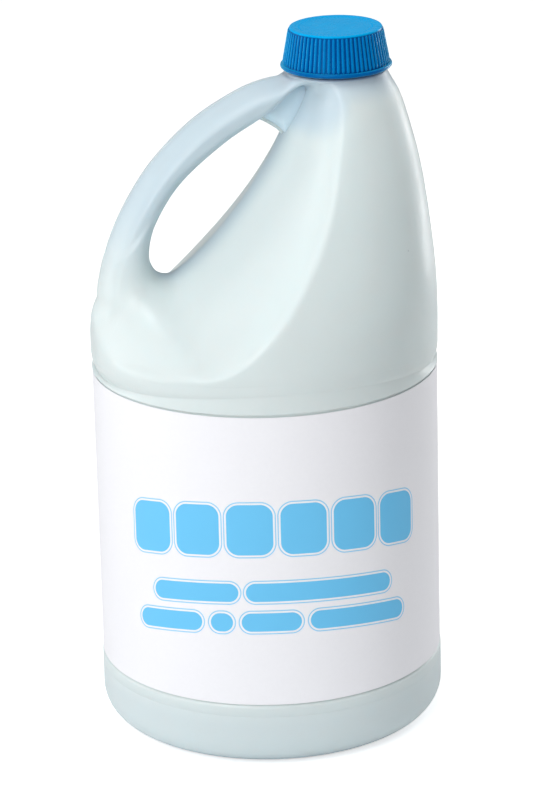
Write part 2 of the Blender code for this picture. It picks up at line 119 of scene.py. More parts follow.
# Handle and finger hole
HANDLE_DEPTH = 25.0 * MM
HANDLE_EDGE_RADIUS = 9.0 * MM
HANDLE_EDGE_SLOPE = 2.2
HOLE_EDGE_RADIUS = 6.5 * MM
HOLE_EDGE_SLOPE = 2.4
FUNNEL_SLOPE = 3.3
LOWER_SLOPE = 3.5
LOWER_SLOPE_Z = SEAM_Z + 4.0 * MM
LOWER_SLOPE_HEIGHT = 22.0 * MM
PAD_SLOPE = 1.4
PAD_X = -0.94 * BODY_RADIUS
PAD_WIDTH = 60.0 * MM
FUNNEL_BLEND = 5.0 * MM
LEFT_FADE_Z = SEAM_Z + 24.0 * MM
LEFT_FADE_HEIGHT = 26.0 * MM
PAD_TOP_Z = SEAM_Z + 56.0 * MM
PAD_TOP_SLOPE = 4.0
PAD_TOP_SOFTNESS = 5.0 * MM
HANDLE_FADE = 12.0 * MM
RIM_SOFTNESS = 5.0 * MM
SLOPE_SOFTNESS = 4.0 * MM
PAD_SLOPE_SOFTNESS = 16.0 * MM
PAD_SOFT_X = 0.72 * PAD_X
PAD_SOFT_WIDTH = 45.0 * MM
PAD_SOFTNESS = 14.0 * MM
HANDLE_SOFTNESS = 6.0 * MM
RIDGE_WIDTH = 4.2 * MM
UPPER_RIDGE_WIDTH = 5.0 * MM
UPPER_RIDGE_Z = SEAM_Z + 32.0 * MM
UPPER_RIDGE_HEIGHT = 45.0 * MM
SEAM_FADE_HEIGHT = 5.0 * MM
RIDGE_BAND = 8.0 * MM

# Neck finish and its thread
NECK_RADIUS = 15.3 * MM
NECK_WALL = 1.7 * MM
NECK_LIP_RADIUS = 0.5 * MM
NECK_ROOT_RADIUS = 0.5 * MM
SEAT_GAP = 0.3 * MM
LINER_THICKNESS = 1.0 * MM
LIP_Z = CAP_TOP_Z - CAP_TOP_THICKNESS - LINER_THICKNESS - 2.0 * SEAT_GAP
THREAD_PITCH = 4.2286 * MM
THREAD_TURNS = 1.4
THREAD_HEIGHT = 0.85 * MM
THREAD_SINK = 0.15 * MM
NECK_THREAD_Z = 273.7 * MM

# Label
LABEL_BOTTOM_Z = PANEL_BOTTOM_Z + 0.4 * MM
LABEL_TOP_Z = PANEL_TOP_Z - 0.4 * MM
LABEL_THICKNESS = 0.2 * MM
LABEL_LAP = 8.0 * MM
LABEL_RADIUS = BODY_RADIUS - PANEL_DEPTH + SEAT_GAP
LABEL_STEPS = 360

# Printed shapes on the label: centre (u, v), half width, half height and corner radius in millimetres.
# u runs round the label from its front and v is the height.
LARGE_SHAPES = [(-65.5 + 21.6 * i, 102.8, 9.3, 10.6, 5.0) for i in range(6)]
SMALL_SHAPES = [(-46.0, 76.3, 18.6, 3.9, 3.9), (6.8, 76.3, 31.2, 3.9, 3.9),
                (-57.8, 63.6, 15.0, 3.9, 3.9), (-34.5, 63.6, 4.6, 3.9, 3.9), (-14.4, 63.6, 12.0, 3.9, 3.9),
                (23.2, 63.6, 22.0, 3.9, 3.9)]
ARCH_MIDDLE = -13.0
ARCH_BEND = 0.0014

# Beads along the mould's parting line and the web's rim
PARTING_BEAD_RADIUS = 0.18 * MM
PARTING_FOOT_Z = SEAM_Z + 14.0 * MM
WEB_RIM_RADIUS = 1.15 * MM

# Steps of the smooth shell
OUTER_STEPS = {"half_ring": 84, "right": 54, "neck": 42, "left": 72, "heel": 14,
               "edge_rows": (0.3, 0.8, 1.5, 2.4, 3.6, 5.0, 6.6), "between": 5,
               "ridge_rows": (-1.0, -0.72, -0.45, -0.15, 0.15, 0.45, 0.72, 1.0), "beyond": 9,
               "ridge_passes": 14, "rounding": 5}
INNER_STEPS = {"half_ring": 28, "right": 12, "neck": 42, "left": 20, "heel": 6, "edge_rows": (2.2,),
               "between": 2, "ridge_rows": (-0.7, 0.7), "beyond": 2, "ridge_passes": 3, "rounding": 1}
RIDGE_LIMITS = (0.08, 0.92)
RIDGE_SAMPLES = np.linspace(0.02, 0.98, 193)
BAND_SHARE = 0.35
EDGE_ROWS_SHARE = 0.7
RIGHT_CROWDING = 1.3
SMOOTH_ANGLE = math.radians(35.0)

# Outlines in the parting plane as (x, z) in millimetres, with z from the seam at the sides
DRAWN_RADIUS = 70.2
DRAWN_HEIGHT = 109.8
HANDLE_BACK = [(-81.5, 0.0), (-75.9, 6.5), (-71.8, 12.7), (-69.5, 19.8), (-67.8, 23.5), (-66.7, 31.6),
               (-62.0, 47.9), (-54.1, 63.9), (-43.1, 79.3), (-26.9, 94.3), (-9.7, 104.3), (1.5, 108.3)]
BODY_RIGHT = [(70.2, 0.0), (70.1, 10.0), (69.4, 23.7), (68.0, 40.6), (66.3, 57.3), (63.9, 74.0),
              (60.2, 90.6), (57.2, 100.5), (54.2, 106.2)]
HOLE_BOTTOM = [(-44.6, 35.0), (-39.8, 31.6), (-34.0, 33.2)]
HOLE_FRONT = [(-20.7, 44.2), (-7.2, 59.7), (3.4, 75.4), (10.5, 89.0)]
WEB_CORNER = [(16.5, 100.5), (17.6, 105.2), (13.2, 103.8)]
HOLE_UPPER = [(3.0, 95.4), (-14.2, 85.1), (-32.1, 70.1), (-42.7, 54.5), (-46.1, 42.3)]
FUNNEL_LEFT = [(-92.0, 14.0), (-61.0, 23.5), (-49.0, 27.6), (-39.5, 30.4)]
FUNNEL_TOP = [(16.6, 102.1), (28.0, 135.0)]
WEB_LOWER_EDGE = [(-1.0, 94.4), (3.4, 91.9), (8.0, 88.6), (11.2, 84.6)]
WEB_UPPER_EDGE = [(20.0, 92.0), (22.5, 104.0), (14.0, 107.0), (4.0, 100.0)]
WEB_DEPTH = 5.0 * MM
WEB_LIFT = (-1.1 * MM, 1.8 * MM)
WEB_SECTIONS = ((0.45, 0.05), (0.70, 0.13), (0.86, 0.26), (0.95, 0.43), (0.99, 0.68))

# Stretches of the wall that get a darker bluish tint, partly the thin wall's own blue and partly painted shade
HANDLE_REACH = 24.0 * MM
HEEL_TINT_Z = 30.0 * MM
FOOT_TINT_Z = 5.0 * MM
NECK_TINT_Z = 258.0 * MM
NECK_SHADE_Z = 275.0 * MM

# Colours
MILKY = ((0.68, 0.775, 0.78, 1.0), (0.715, 0.805, 0.805, 1.0))
# A darker bluish tint: partly the thin wall's own blue, partly painted shade
BLUE_TINT_AND_SHADE = (0.45, 0.58, 0.69, 1.0)
# Painted light: a lighter, bluer colour for the pinched web, partly its thin clear plastic
WEB_TINT_AND_LIGHT = (0.70, 0.87, 0.98, 1.0)
SPECK_GREY = (0.30, 0.36, 0.40, 1.0)
# Painted shade: a darker blue for the grooves between the cap's ribs, against the crests' blue below
GROOVE_SHADE_BLUE = ((0.0, 0.05, 0.24, 1.0), (0.0, 0.07, 0.30, 1.0))
CREST_BLUE = ((0.0, 0.165, 0.48, 1.0), (0.0, 0.20, 0.55, 1.0))
# Painted light: a lighter blue for the cap's top, as if lit from above more than the skirt
CAP_TOP_LIT_BLUE = ((0.0, 0.36, 0.76, 1.0), (0.0, 0.42, 0.84, 1.0))
# Painted highlight: a bright cyan glint for the rib crests seen edge-on
GLINT_BLUE = (0.02, 0.68, 0.95, 1.0)
SHEEN_BLUE = (0.1, 0.75, 1.0, 1.0)
FOAM_WHITE = ((0.78, 0.78, 0.76, 1.0), (0.90, 0.90, 0.88, 1.0))
FILM_WHITE = ((0.90, 0.90, 0.935, 1.0), (0.93, 0.93, 0.965, 1.0))
INK_BLUE = (0.15, 0.58, 0.93, 1.0)
FLOOR_GREY = (0.9, 0.9, 0.9, 1.0)
WORLD_WHITE = (0.97, 0.985, 1.0, 1.0)
WHITE = (1.0, 1.0, 1.0, 1.0)

# Floor, surround and lamps
FLOOR_HALF_SIZE = 6.0
FLOOR_DROP = 0.2 * MM
FLOOR_GLOW = 0.6
WORLD_STRENGTH = 0.33
LAMP_AIM = Vector((0.0, 0.0, 0.14))
# Name, (azimuth, elevation) in degrees from the camera's side, distance, width, height and watts
LAMPS = [("key", (-30.0, 30.0), 1.5, 0.8, 1.1, 10.4), ("side", (-100.0, 12.0), 1.3, 0.5, 0.9, 3.0),
         ("top", (-30.0, 74.0), 1.3, 0.6, 0.6, 5.8), ("rim", (134.0, 14.0), 1.0, 0.2, 0.8, 3.6)]


def lerp(a, b, t):
    return a + (b - a) * t


def smooth_step(t):
    t = np.clip(t, 0.0, 1.0)
    return t * t * (3.0 - 2.0 * t)


def smooth_min(a, b, softness):
    """The smaller of two depths, rounded where they cross. It never falls below zero."""
    least = np.minimum(a, b)
    soft = np.maximum(np.minimum(softness, least), 1e-9)
    return least - np.maximum(soft - np.abs(a - b), 0.0) ** 2 / (4.0 * soft)


def smooth_max(a, b, softness):
    """The larger of two depths, rounded where they cross."""
    most = np.maximum(a, b)
    soft = np.maximum(np.minimum(softness, np.minimum(a, b)), 1e-9)
    return most + np.maximum(soft - np.abs(a - b), 0.0) ** 2 / (4.0 * soft)


def spline(points, steps=12):
    """A smooth line through the points."""
    points = np.array(points, float)
    knots = np.vstack([2.0 * points[0] - points[1], points, 2.0 * points[-1] - points[-2]])
    rows = []
    for p0, p1, p2, p3 in zip(knots[:-3], knots[1:-2], knots[2:-1], knots[3:]):
        for t in np.arange(steps) / steps:
            rows.append(0.5 * (2.0 * p1 + (p2 - p0) * t + (2.0 * p0 - 5.0 * p1 + 4.0 * p2 - p3) * t * t
                               + (3.0 * p1 - p0 - 3.0 * p2 + p3) * t ** 3))
    rows.append(points[-1])
    return np.array(rows)


def closed_spline(points, steps=12):
    """A smooth closed line through the points."""
    points = list(points)
    line = spline(points[-2:] + points + points[:2], steps)
    return line[2 * steps:(2 + len(points)) * steps + 1]


def evenly(line, count, crowding=1.0):
    """The line in count + 1 points, at equal distances or, with crowding over 1, closer to its end."""
    lengths = np.concatenate([[0.0], np.cumsum(np.linalg.norm(np.diff(line, axis=0), axis=1))])
    places = lengths[-1] * (1.0 - (1.0 - np.arange(count + 1) / count) ** crowding)
    return np.column_stack([np.interp(places, lengths, line[:, k]) for k in (0, 1)])


def left_normals(line):
    along = np.gradient(line, axis=0)
    along /= np.linalg.norm(along, axis=1, keepdims=True)
    return np.column_stack([-along[:, 1], along[:, 0]])


def distance_to(line, x, z):
    """Distance from each place to the line, and whether the place is on the line's right."""
    places = np.column_stack([np.ravel(x), np.ravel(z)])
    starts = line[:-1]
    runs = np.diff(line, axis=0)
    ahead = places[:, None, :] - starts[None, :, :]
    share = np.clip((ahead * runs).sum(axis=2) / (runs ** 2).sum(axis=1), 0.0, 1.0)
    away = ahead - share[:, :, None] * runs
    far = np.linalg.norm(away, axis=2)
    nearest = far.argmin(axis=1)
    rows = np.arange(len(places))
    side = runs[nearest, 0] * ahead[rows, nearest, 1] - runs[nearest, 1] * ahead[rows, nearest, 0]
    return far[rows, nearest].reshape(np.shape(x)), (side < 0.0).reshape(np.shape(x))


def placed(points):
    """The drawn points in metres."""
    height = SHOULDER_RING_Z - SEAM_Z
    return [(x / DRAWN_RADIUS * BODY_RADIUS, SEAM_Z + z / DRAWN_HEIGHT * height) for x, z in points]


HANDLE_LINE = spline(placed(HANDLE_BACK) + [(NECK_X - SHOULDER_RING_RADIUS, SHOULDER_RING_Z)])
RIGHT_LINE = spline(placed(BODY_RIGHT) + [(NECK_X + SHOULDER_RING_RADIUS, SHOULDER_RING_Z)])
HOLE_LINE = closed_spline(placed(HOLE_BOTTOM + HOLE_FRONT + WEB_CORNER + HOLE_UPPER))
FUNNEL_LINE = spline(placed(FUNNEL_LEFT + HOLE_FRONT + FUNNEL_TOP))


def round_radius(z, power):
    """Radius of the shoulder's round part at height z."""
    t = np.clip((z - ROUND_Z) / (SHOULDER_RING_Z - ROUND_Z), 0.0, 1.0)
    return lerp(BODY_RADIUS, SHOULDER_RING_RADIUS, t ** power)


def dome_depth(x, z, inset):
    """Half depth of the round shoulder alone."""
    radius = round_radius(z, ROUND_POWER)
    centre = np.interp(z, RIGHT_LINE[:, 1], RIGHT_LINE[:, 0]) - radius
    fade = smooth_step((z - LEFT_FADE_Z) / LEFT_FADE_HEIGHT)
    left_reach = lerp(centre + BODY_RADIUS, radius, fade)
    reach = np.where(x < centre, left_reach, radius) - inset
    above, below = (z - SEAM_Z) / SQUARE_RISE, (SHOULDER_RING_Z - z) / SQUARE_FALL
    power = 2.0 + SQUARENESS * smooth_step(above) * smooth_step(below)
    share = np.minimum(np.abs(x - centre) / reach, 1.0)
    return (round_radius(z, DEPTH_POWER) - inset) * (1.0 - share ** power) ** (1.0 / power)


def slope_at(x, z):
    """Steepness of the slope round the hole: gentle on the pad at the handle's foot, steepest low down."""
    steep = lerp(LOWER_SLOPE, FUNNEL_SLOPE, smooth_step((z - LOWER_SLOPE_Z) / LOWER_SLOPE_HEIGHT))
    return lerp(PAD_SLOPE, steep, smooth_step((x - PAD_X) / PAD_WIDTH))


def funnel_depth(x, z, inset):
    """Half depth of the slope that rises from the handle's face, past the hole, to the round shoulder."""
    away, on_body = distance_to(FUNNEL_LINE, x, z)
    away = np.where(on_body, away, -away)
    slope = slope_at(x, z)
    slant = np.hypot(1.0, slope) - 1.0
    funnel = HANDLE_DEPTH / 2.0 - inset + slope * FUNNEL_BLEND * np.logaddexp(0.0, away / FUNNEL_BLEND)
    return funnel - inset * slant * smooth_step(0.5 + away / (2.0 * FUNNEL_BLEND))


def half_depth(x, z, inset):
    """Half depth of the shoulder at (x, z), or of the space inside it when inset is the wall."""
    from_hole = np.maximum(distance_to(HOLE_LINE, x, z)[0] - inset, 0.0)
    steepness = slope_at(x, z)
    nose_slope = np.maximum(steepness, HOLE_EDGE_SLOPE)
    nose = np.sqrt(2.0 * (HOLE_EDGE_RADIUS - inset) * from_hole + (nose_slope * from_hole) ** 2)
    from_back = np.maximum(distance_to(HANDLE_LINE, x, z)[0] - inset, 0.0)
    edge = np.sqrt(2.0 * (HANDLE_EDGE_RADIUS - inset) * from_back + (HANDLE_EDGE_SLOPE * from_back) ** 2)
    face = np.full_like(x, HANDLE_DEPTH / 2.0 - inset)

    pad_edge = edge + PAD_TOP_SLOPE * PAD_TOP_SOFTNESS * np.logaddexp(0.0, (z - PAD_TOP_Z) / PAD_TOP_SOFTNESS)
    softness = lerp(PAD_SLOPE_SOFTNESS, SLOPE_SOFTNESS, smooth_step((x - PAD_SOFT_X) / PAD_SOFT_WIDTH))
    slope = smooth_min(funnel_depth(x, z, inset), nose, softness)
    slope = smooth_min(slope, pad_edge, PAD_SOFTNESS)
    dome = dome_depth(x, z, inset)
    width = lerp(RIDGE_WIDTH, UPPER_RIDGE_WIDTH, smooth_step((z - UPPER_RIDGE_Z) / UPPER_RIDGE_HEIGHT))
    body = smooth_min(dome, slope, width * steepness)
    handle = smooth_min(smooth_min(edge, nose, HANDLE_SOFTNESS), face, HANDLE_SOFTNESS)
    away, on_body = distance_to(FUNNEL_LINE, x, z)
    handle = handle * smooth_step(1.0 - np.where(on_body, away, 0.0) / HANDLE_FADE)
    shoulder = smooth_max(body, handle, RIM_SOFTNESS)
    above_seam = (z - seam_z_at(x, inset)) / SEAM_FADE_HEIGHT
    return lerp(dome, shoulder, smooth_step(above_seam))


def seam_z_at(x, inset):
    """Height of the seam where it passes in front of x."""
    across = np.clip(x / (BODY_RADIUS - inset), -1.0, 1.0)
    return SEAM_Z + SEAM_RISE * (1.0 - across ** 2)


def half_ring(radius, z, steps, centre=0.0, rise=0.0, swell=0.0):
    """Points from the left side round the front to the right. rise lifts the front and swell widens it."""
    rows = []
    for i in range(steps + 1):
        angle = math.pi * i / steps
        ahead = math.sin(angle) ** 2 if 0 < i < steps else 0.0
        wide = radius + swell * ahead
        depth = wide * math.sin(angle) if 0 < i < steps else 0.0
        rows.append((centre - wide * math.cos(angle), -depth, z + rise * ahead))
    return rows


def row_shares(ridge, length, steps):
    """Places of the rows on a spoke: close together at the hole, at the ridge and at the outer end."""
    band = min(RIDGE_BAND / length, BAND_SHARE * ridge, BAND_SHARE * (1.0 - ridge))
    start, end = ridge - band, ridge + band
    edge = np.array(steps["edge_rows"]) * MM / length
    near = edge * min(1.0, EDGE_ROWS_SHARE * start / edge[-1])
    between = lerp(near[-1], start, np.arange(1, steps["between"] + 1) / (steps["between"] + 1))
    middle = ridge + band * np.array(steps["ridge_rows"])
    far = 1.0 - edge[::-1] * min(1.0, EDGE_ROWS_SHARE * (1.0 - end) / edge[-1])
    beyond = lerp(end, far[0], np.arange(1, steps["beyond"] + 1) / (steps["beyond"] + 1))
    return np.concatenate([[0.0], near, between, middle, beyond, far, [1.0]])


def ridge_shares(outer, hole, inset, steps):
    """Where each spoke crosses the ridge between the slope round the hole and the round shoulder."""
    shares = []
    for point, (hx, hz) in zip(outer, hole):
        x, z = lerp(hx, point[0], RIDGE_SAMPLES), lerp(hz, point[2], RIDGE_SAMPLES)
        from_hole = distance_to(HOLE_LINE, x, z)[0]
        below = dome_depth(x, z, inset) < np.minimum(funnel_depth(x, z, inset), slope_at(x, z) * from_hole)
        first = RIDGE_SAMPLES[below.argmax()] if below.any() else 1.0
        shares.append(float(np.clip(first, *RIDGE_LIMITS)))
    shares[-steps["left"] + 1:] = [0.5] * (steps["left"] - 1)
    shares = np.array(shares)
    for _ in range(steps["ridge_passes"]):
        shares = (np.roll(shares, 1) + 2.0 * shares + np.roll(shares, -1)) / 4.0
    return shares


def hole_points(inset, steps):
    """Points on the finger hole's edge, one for each point of the outer outline."""
    corners = placed([HOLE_BOTTOM[0], HOLE_FRONT[2], WEB_CORNER[0], WEB_CORNER[2]])
    line = HOLE_LINE[:-1]
    places = [int(np.linalg.norm(line - corner, axis=1).argmin()) for corner in corners]
    points = []
    stretches = [steps["half_ring"], steps["right"], steps["neck"], steps["left"]]
    for start, end, count in zip(places, places[1:] + places[:1], stretches):
        span = (end - start) % len(line)
        points.extend(evenly(line[(start + np.arange(span + 1)) % len(line)], count)[:-1])
    points = np.array(points)
    wrapped = np.vstack([points[-1:], points, points[:1]])
    return points - left_normals(wrapped)[1:-1] * inset


def upper_shell(inset, steps):
    """The shoulder with its handle, as closed rows from the finger hole's edge to the outer outline."""
    seam = half_ring(BODY_RADIUS - inset, SEAM_Z, steps["half_ring"], rise=SEAM_RISE)
    ring = half_ring(SHOULDER_RING_RADIUS - inset, SHOULDER_RING_Z, steps["neck"], NECK_X)
    right = evenly(RIGHT_LINE, steps["right"], RIGHT_CROWDING)
    right = right + left_normals(right) * inset
    back = HANDLE_LINE[HANDLE_LINE[:, 1] >= SEAM_Z - 1e-9]
    back = np.column_stack([np.maximum(back[:, 0], -BODY_RADIUS), back[:, 1]])
    back = evenly(back, steps["left"])
    back = back - left_normals(back) * inset
    outer = seam + [(x, 0.0, z) for x, z in right[1:-1]] + ring[:0:-1]
    outer += [ring[0]] + [(x, 0.0, z) for x, z in back[-2:0:-1]]

    hole = hole_points(inset, steps)
    rows = []
    for point, (hx, hz), ridge in zip(outer, hole, ridge_shares(outer, hole, inset, steps)):
        length = math.hypot(point[0] - hx, point[2] - hz)
        shares = row_shares(ridge, length, steps)[1:-1]
        x, z = lerp(hx, point[0], shares), lerp(hz, point[2], shares)
        depth = half_depth(x, z, inset)
        between = [(float(a), -float(b), float(c)) for a, b, c in zip(x, depth, z)]
        rows.append([(hx, 0.0, hz)] + between + [point])
    return rows


def groove_rows(inset, rounding):
    """Rows (radius, z, rise) from under the seam down into the groove and out onto the label panel."""
    full = BODY_RADIUS - inset
    groove_z = PANEL_TOP_Z + GROOVE_ABOVE_PANEL
    rows = [(full, SEAM_Z, SEAM_RISE)]
    for share in (1.0, 0.55, 0.22):
        rows.append((full - GROOVE_DEPTH * (1.0 - share) ** 2, groove_z + GROOVE_FLANK_HEIGHT * share,
                     GROOVE_RISE * (1.0 - 0.35 * share)))
    rows.append((full - GROOVE_DEPTH, groove_z, GROOVE_RISE))
    rows.append((full - 0.55 * GROOVE_DEPTH, groove_z - 0.3 * GROOVE_ABOVE_PANEL, 0.6 * GROOVE_RISE))
    rows.append((full - 0.1 * GROOVE_DEPTH, PANEL_TOP_Z + 0.25 * GROOVE_ABOVE_PANEL, 0.1 * GROOVE_RISE))
    return list(spline(rows, rounding)[1:])


def lower_rows(inset, steps):
    """Half rings of the turned lower body, from under the seam down to the centre of the base."""
    full = BODY_RADIUS - inset
    rows = groove_rows(inset, steps["rounding"])
    rows.append((full - PANEL_DEPTH, PANEL_TOP_Z, 0.0))
    rows.append((full - PANEL_DEPTH, PANEL_BOTTOM_Z, 0.0))
    if inset == 0.0:
        for share in (0.1, 0.25, 0.45, 0.7, 1.0):
            step_z = PANEL_BOTTOM_Z - PANEL_STEP_HEIGHT * share
            rows.append((full - PANEL_DEPTH * (1.0 - share) ** 2, step_z, 0.0))
        for share in (-1.0, -0.5, 0.0, 0.5, 1.0):
            line_z = HEEL_LINE_Z - HEEL_LINE_WIDTH / 2.0 * share
            rows.append((full - HEEL_LINE_DEPTH * (1.0 - abs(share)), line_z, 0.0))
        rows.append((full, lerp(HEEL_LINE_Z, HEEL_RADIUS, 0.4), 0.0))
    else:
        rows.append((full, PANEL_BOTTOM_Z - PANEL_STEP_HEIGHT, 0.0))
    for i in range(steps["heel"] + 1):
        angle = math.pi / 2.0 * i / steps["heel"]
        rows.append((full - HEEL_RADIUS + HEEL_RADIUS * math.cos(angle),
                     HEEL_RADIUS - HEEL_RADIUS * math.sin(angle) + inset, 0.0))
    foot = full - HEEL_RADIUS - FOOT_WIDTH
    rows.append((foot, inset, 0.0))
    for share in (0.15, 0.35, 0.5, 0.7, 0.85, 1.0):
        height = PUSH_UP_HEIGHT * 0.85 * smooth_step(share)
        rows.append((foot - PUSH_UP_FLANK_WIDTH * share, inset + height, 0.0))
    rows.append((0.45 * foot, inset + PUSH_UP_HEIGHT, 0.0))
    return rows


def neck_rows(inset):
    """Half rings of the shoulder's top and the neck finish, from above the shoulder ring to the lip."""
    top = SHOULDER_TOP_Z - inset
    bore = inset * NECK_WALL / WALL
    turn = NECK_LIP_RADIUS if inset == 0.0 else -NECK_LIP_RADIUS
    rounding = [(SHOULDER_RING_RADIUS - inset - SHOULDER_ROUNDING * inward, lerp(SHOULDER_RING_Z, top, up))
                for inward, up in ((1.0 / 7.0, 0.4), (3.0 / 7.0, 0.8), (1.0, 1.0))]
    return [*rounding,
            (NECK_RADIUS - bore + NECK_ROOT_RADIUS, top),
            (NECK_RADIUS - bore, top + NECK_ROOT_RADIUS),
            (NECK_RADIUS - bore, LIP_Z - NECK_LIP_RADIUS),
            (NECK_RADIUS - bore - 0.3 * turn, LIP_Z - 0.3 * NECK_LIP_RADIUS),
            (NECK_RADIUS - bore - turn, LIP_Z)]


def add_strip(bm, upper, lower):
    """Quads between two half rings of vertices."""
    for a, b, c, d in zip(upper[:-1], upper[1:], lower[1:], lower[:-1]):
        bm.faces.new((a, b, c, d))


def add_wall(bm, inset, steps):
    """One wall of the bottle's front half, outer or inner. It returns the vertices at the lip."""
    grid = [[bm.verts.new(p) for p in row] for row in upper_shell(inset, steps)]
    for near, far in zip(grid, grid[1:] + grid[:1]):
        for k in range(len(near) - 1):
            bm.faces.new((near[k], near[k + 1], far[k + 1], far[k]))
    half = steps["half_ring"]
    last = [row[-1] for row in grid[:half + 1]]
    for radius, z, rise in lower_rows(inset, steps):
        swell = GROOVE_FRONT_FADE * (BODY_RADIUS - inset - radius) if rise > 0.0 else 0.0
        ring = [bm.verts.new(p) for p in half_ring(radius, z, half, rise=rise, swell=swell)]
        add_strip(bm, last, ring)
        last = ring
    centre = bm.verts.new((0.0, 0.0, inset + PUSH_UP_HEIGHT))
    for a, b in zip(last[:-1], last[1:]):
        bm.faces.new((a, b, centre))
    start = half + steps["right"]
    last = [row[-1] for row in grid[start:start + steps["neck"] + 1]][::-1]
    for radius, z in neck_rows(inset):
        ring = [bm.verts.new(p) for p in half_ring(radius, z, steps["neck"], NECK_X)]
        add_strip(bm, last, ring)
        last = ring
    return last


def new_object(name, mesh):
    obj = bpy.data.objects.new(name, mesh)
    bpy.context.scene.collection.objects.link(obj)
    return obj


def finish_mesh(bm, name, mat):
    """Makes a bmesh a named object with outward normals and smooth shading."""
    bmesh.ops.recalc_face_normals(bm, faces=bm.faces)
    mesh = bpy.data.meshes.new(name)
    bm.to_mesh(mesh)
    bm.free()
    mesh.shade_smooth()
    mesh.set_sharp_from_angle(angle=SMOOTH_ANGLE)
    mesh.materials.append(mat)
    return new_object(name, mesh)


def fit(obj, body, slot, *stands_for):
    """Fixes a finished piece to its body and hides the solids that it stands for; slot is not used."""
    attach(obj, body)
    if stands_for:
        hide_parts(*stands_for)


def turned(profile, steps, centre_x):
    """A solid turned from (radius, z) rows about the upright line at centre_x, closed at both ends."""
    bm = bmesh.new()
    rings = []
    for radius, z in profile:
        angles = [2.0 * math.pi * i / steps for i in range(steps)]
        spots = [(centre_x + radius * math.cos(angle), radius * math.sin(angle), z) for angle in angles]
        rings.append([bm.verts.new(spot) for spot in spots])
    for a, b in zip(rings[:-1], rings[1:]):
        for i in range(steps):
            j = (i + 1) % steps
            bm.faces.new((a[i], a[j], b[j], b[i]))
    for ring, z in ((rings[0], profile[0][1]), (rings[-1], profile[-1][1])):
        centre = bm.verts.new((centre_x, 0.0, z))
        for i in range(steps):
            bm.faces.new((ring[i], ring[(i + 1) % steps], centre))
    return bm


class Tree:
    """A node tree under construction, with short ways to add and join nodes."""

    def __init__(self, tree):
        self.tree = tree

    def add(self, kind, **settings):
        node = self.tree.nodes.new(kind)
        for key, value in settings.items():
            setattr(node, key, value)
        return node

    def put(self, socket, value):
        """Links value to the socket if it is an output, or else writes it there."""
        if isinstance(value, bpy.types.NodeSocket):
            self.tree.links.new(value, socket)
        else:
            socket.default_value = value

    def math(self, operation, a, b=None):
        node = self.add("ShaderNodeMath", operation=operation)
        self.put(node.inputs[0], a)
        if b is not None:
            self.put(node.inputs[1], b)
        return node.outputs[0]

    def mix(self, factor, a, b):
        """A colour between a and b."""
        node = self.add("ShaderNodeMix", data_type="RGBA")
        self.put(node.inputs["Factor"], factor)
        self.put(node.inputs[6], a)
        self.put(node.inputs[7], b)
        return node.outputs[2]

    def steps(self, value, low, high, to_low=0.0, to_high=1.0):
        """Value moved smoothly from the range low to high into the range to_low to to_high."""
        node = self.add("ShaderNodeMapRange", interpolation_type="SMOOTHSTEP")
        self.put(node.inputs[0], value)
        for socket, number in zip(node.inputs[1:5], (low, high, to_low, to_high)):
            self.put(socket, number)
        return node.outputs[0]


def geometry_tree(name, inputs):
    """A geometry node tree with named number inputs: the tree, its given values and its output socket."""
    group = bpy.data.node_groups.new(name, "GeometryNodeTree")
    group.interface.new_socket("Geometry", in_out="OUTPUT", socket_type="NodeSocketGeometry")
    group.interface.new_socket("Geometry", in_out="INPUT", socket_type="NodeSocketGeometry")
    for key, value in inputs.items():
        kind = "NodeSocketInt" if isinstance(value, int) else "NodeSocketFloat"
        group.interface.new_socket(key, in_out="INPUT", socket_type=kind)
    tree = Tree(group)
    source = tree.add("NodeGroupInput")
    result = tree.add("NodeGroupOutput")
    return tree, source.outputs, result.inputs[0]


def grow(name, tree, inputs, mesh=None):
    """Runs a geometry tree on an object and keeps the plain mesh that it makes."""
    obj = new_object(name, mesh or bpy.data.meshes.new(name))
    modifier = obj.modifiers.new("shape", "NODES")
    modifier.node_group = tree.tree
    for item in tree.tree.interface.items_tree:
        if item.in_out == "INPUT" and item.name in inputs:
            modifier[item.identifier] = inputs[item.name]
    evaluated = obj.evaluated_get(bpy.context.evaluated_depsgraph_get())
    grown = bpy.data.meshes.new_from_object(evaluated)
    grown.name = name
    obj.modifiers.remove(modifier)
    obj.data = grown
    grown.shade_smooth()
    return obj


def rod(tree, curve, radius, sides):
    """A round rod of that radius along a curve, thinned to nothing over its two ends."""
    place = tree.add("GeometryNodeSplineParameter").outputs["Factor"]
    from_middle = tree.math("ABSOLUTE", tree.math("SUBTRACT", tree.math("MULTIPLY", place, 2.0), 1.0))
    fullness = tree.math("SQRT", tree.math("SUBTRACT", 1.0, tree.math("POWER", from_middle, 14.0)))
    ring = tree.add("GeometryNodeCurvePrimitiveCircle")
    tree.put(ring.inputs["Resolution"], sides)
    tree.put(ring.inputs["Radius"], 1.0)
    swept = tree.add("GeometryNodeCurveToMesh")
    tree.put(swept.inputs["Curve"], curve)
    tree.put(swept.inputs["Profile Curve"], ring.outputs[0])
    tree.put(swept.inputs["Scale"], tree.math("MAXIMUM", tree.math("MULTIPLY", fullness, radius), 1e-5))
    tree.put(swept.inputs["Fill Caps"], True)
    return swept.outputs[0]


def close_tree(tree, shape, result, mat):
    """Ends a geometry tree: real copies, then the material."""
    real = tree.add("GeometryNodeRealizeInstances")
    tree.put(real.inputs[0], shape)
    painted = tree.add("GeometryNodeSetMaterial")
    tree.put(painted.inputs["Geometry"], real.outputs[0])
    painted.inputs["Material"].default_value = mat
    tree.put(result, painted.outputs[0])


def vector(tree, x, y, z):
    node = tree.add("ShaderNodeCombineXYZ")
    for socket, value in zip(node.inputs, (x, y, z)):
        tree.put(socket, value)
    return node.outputs[0]


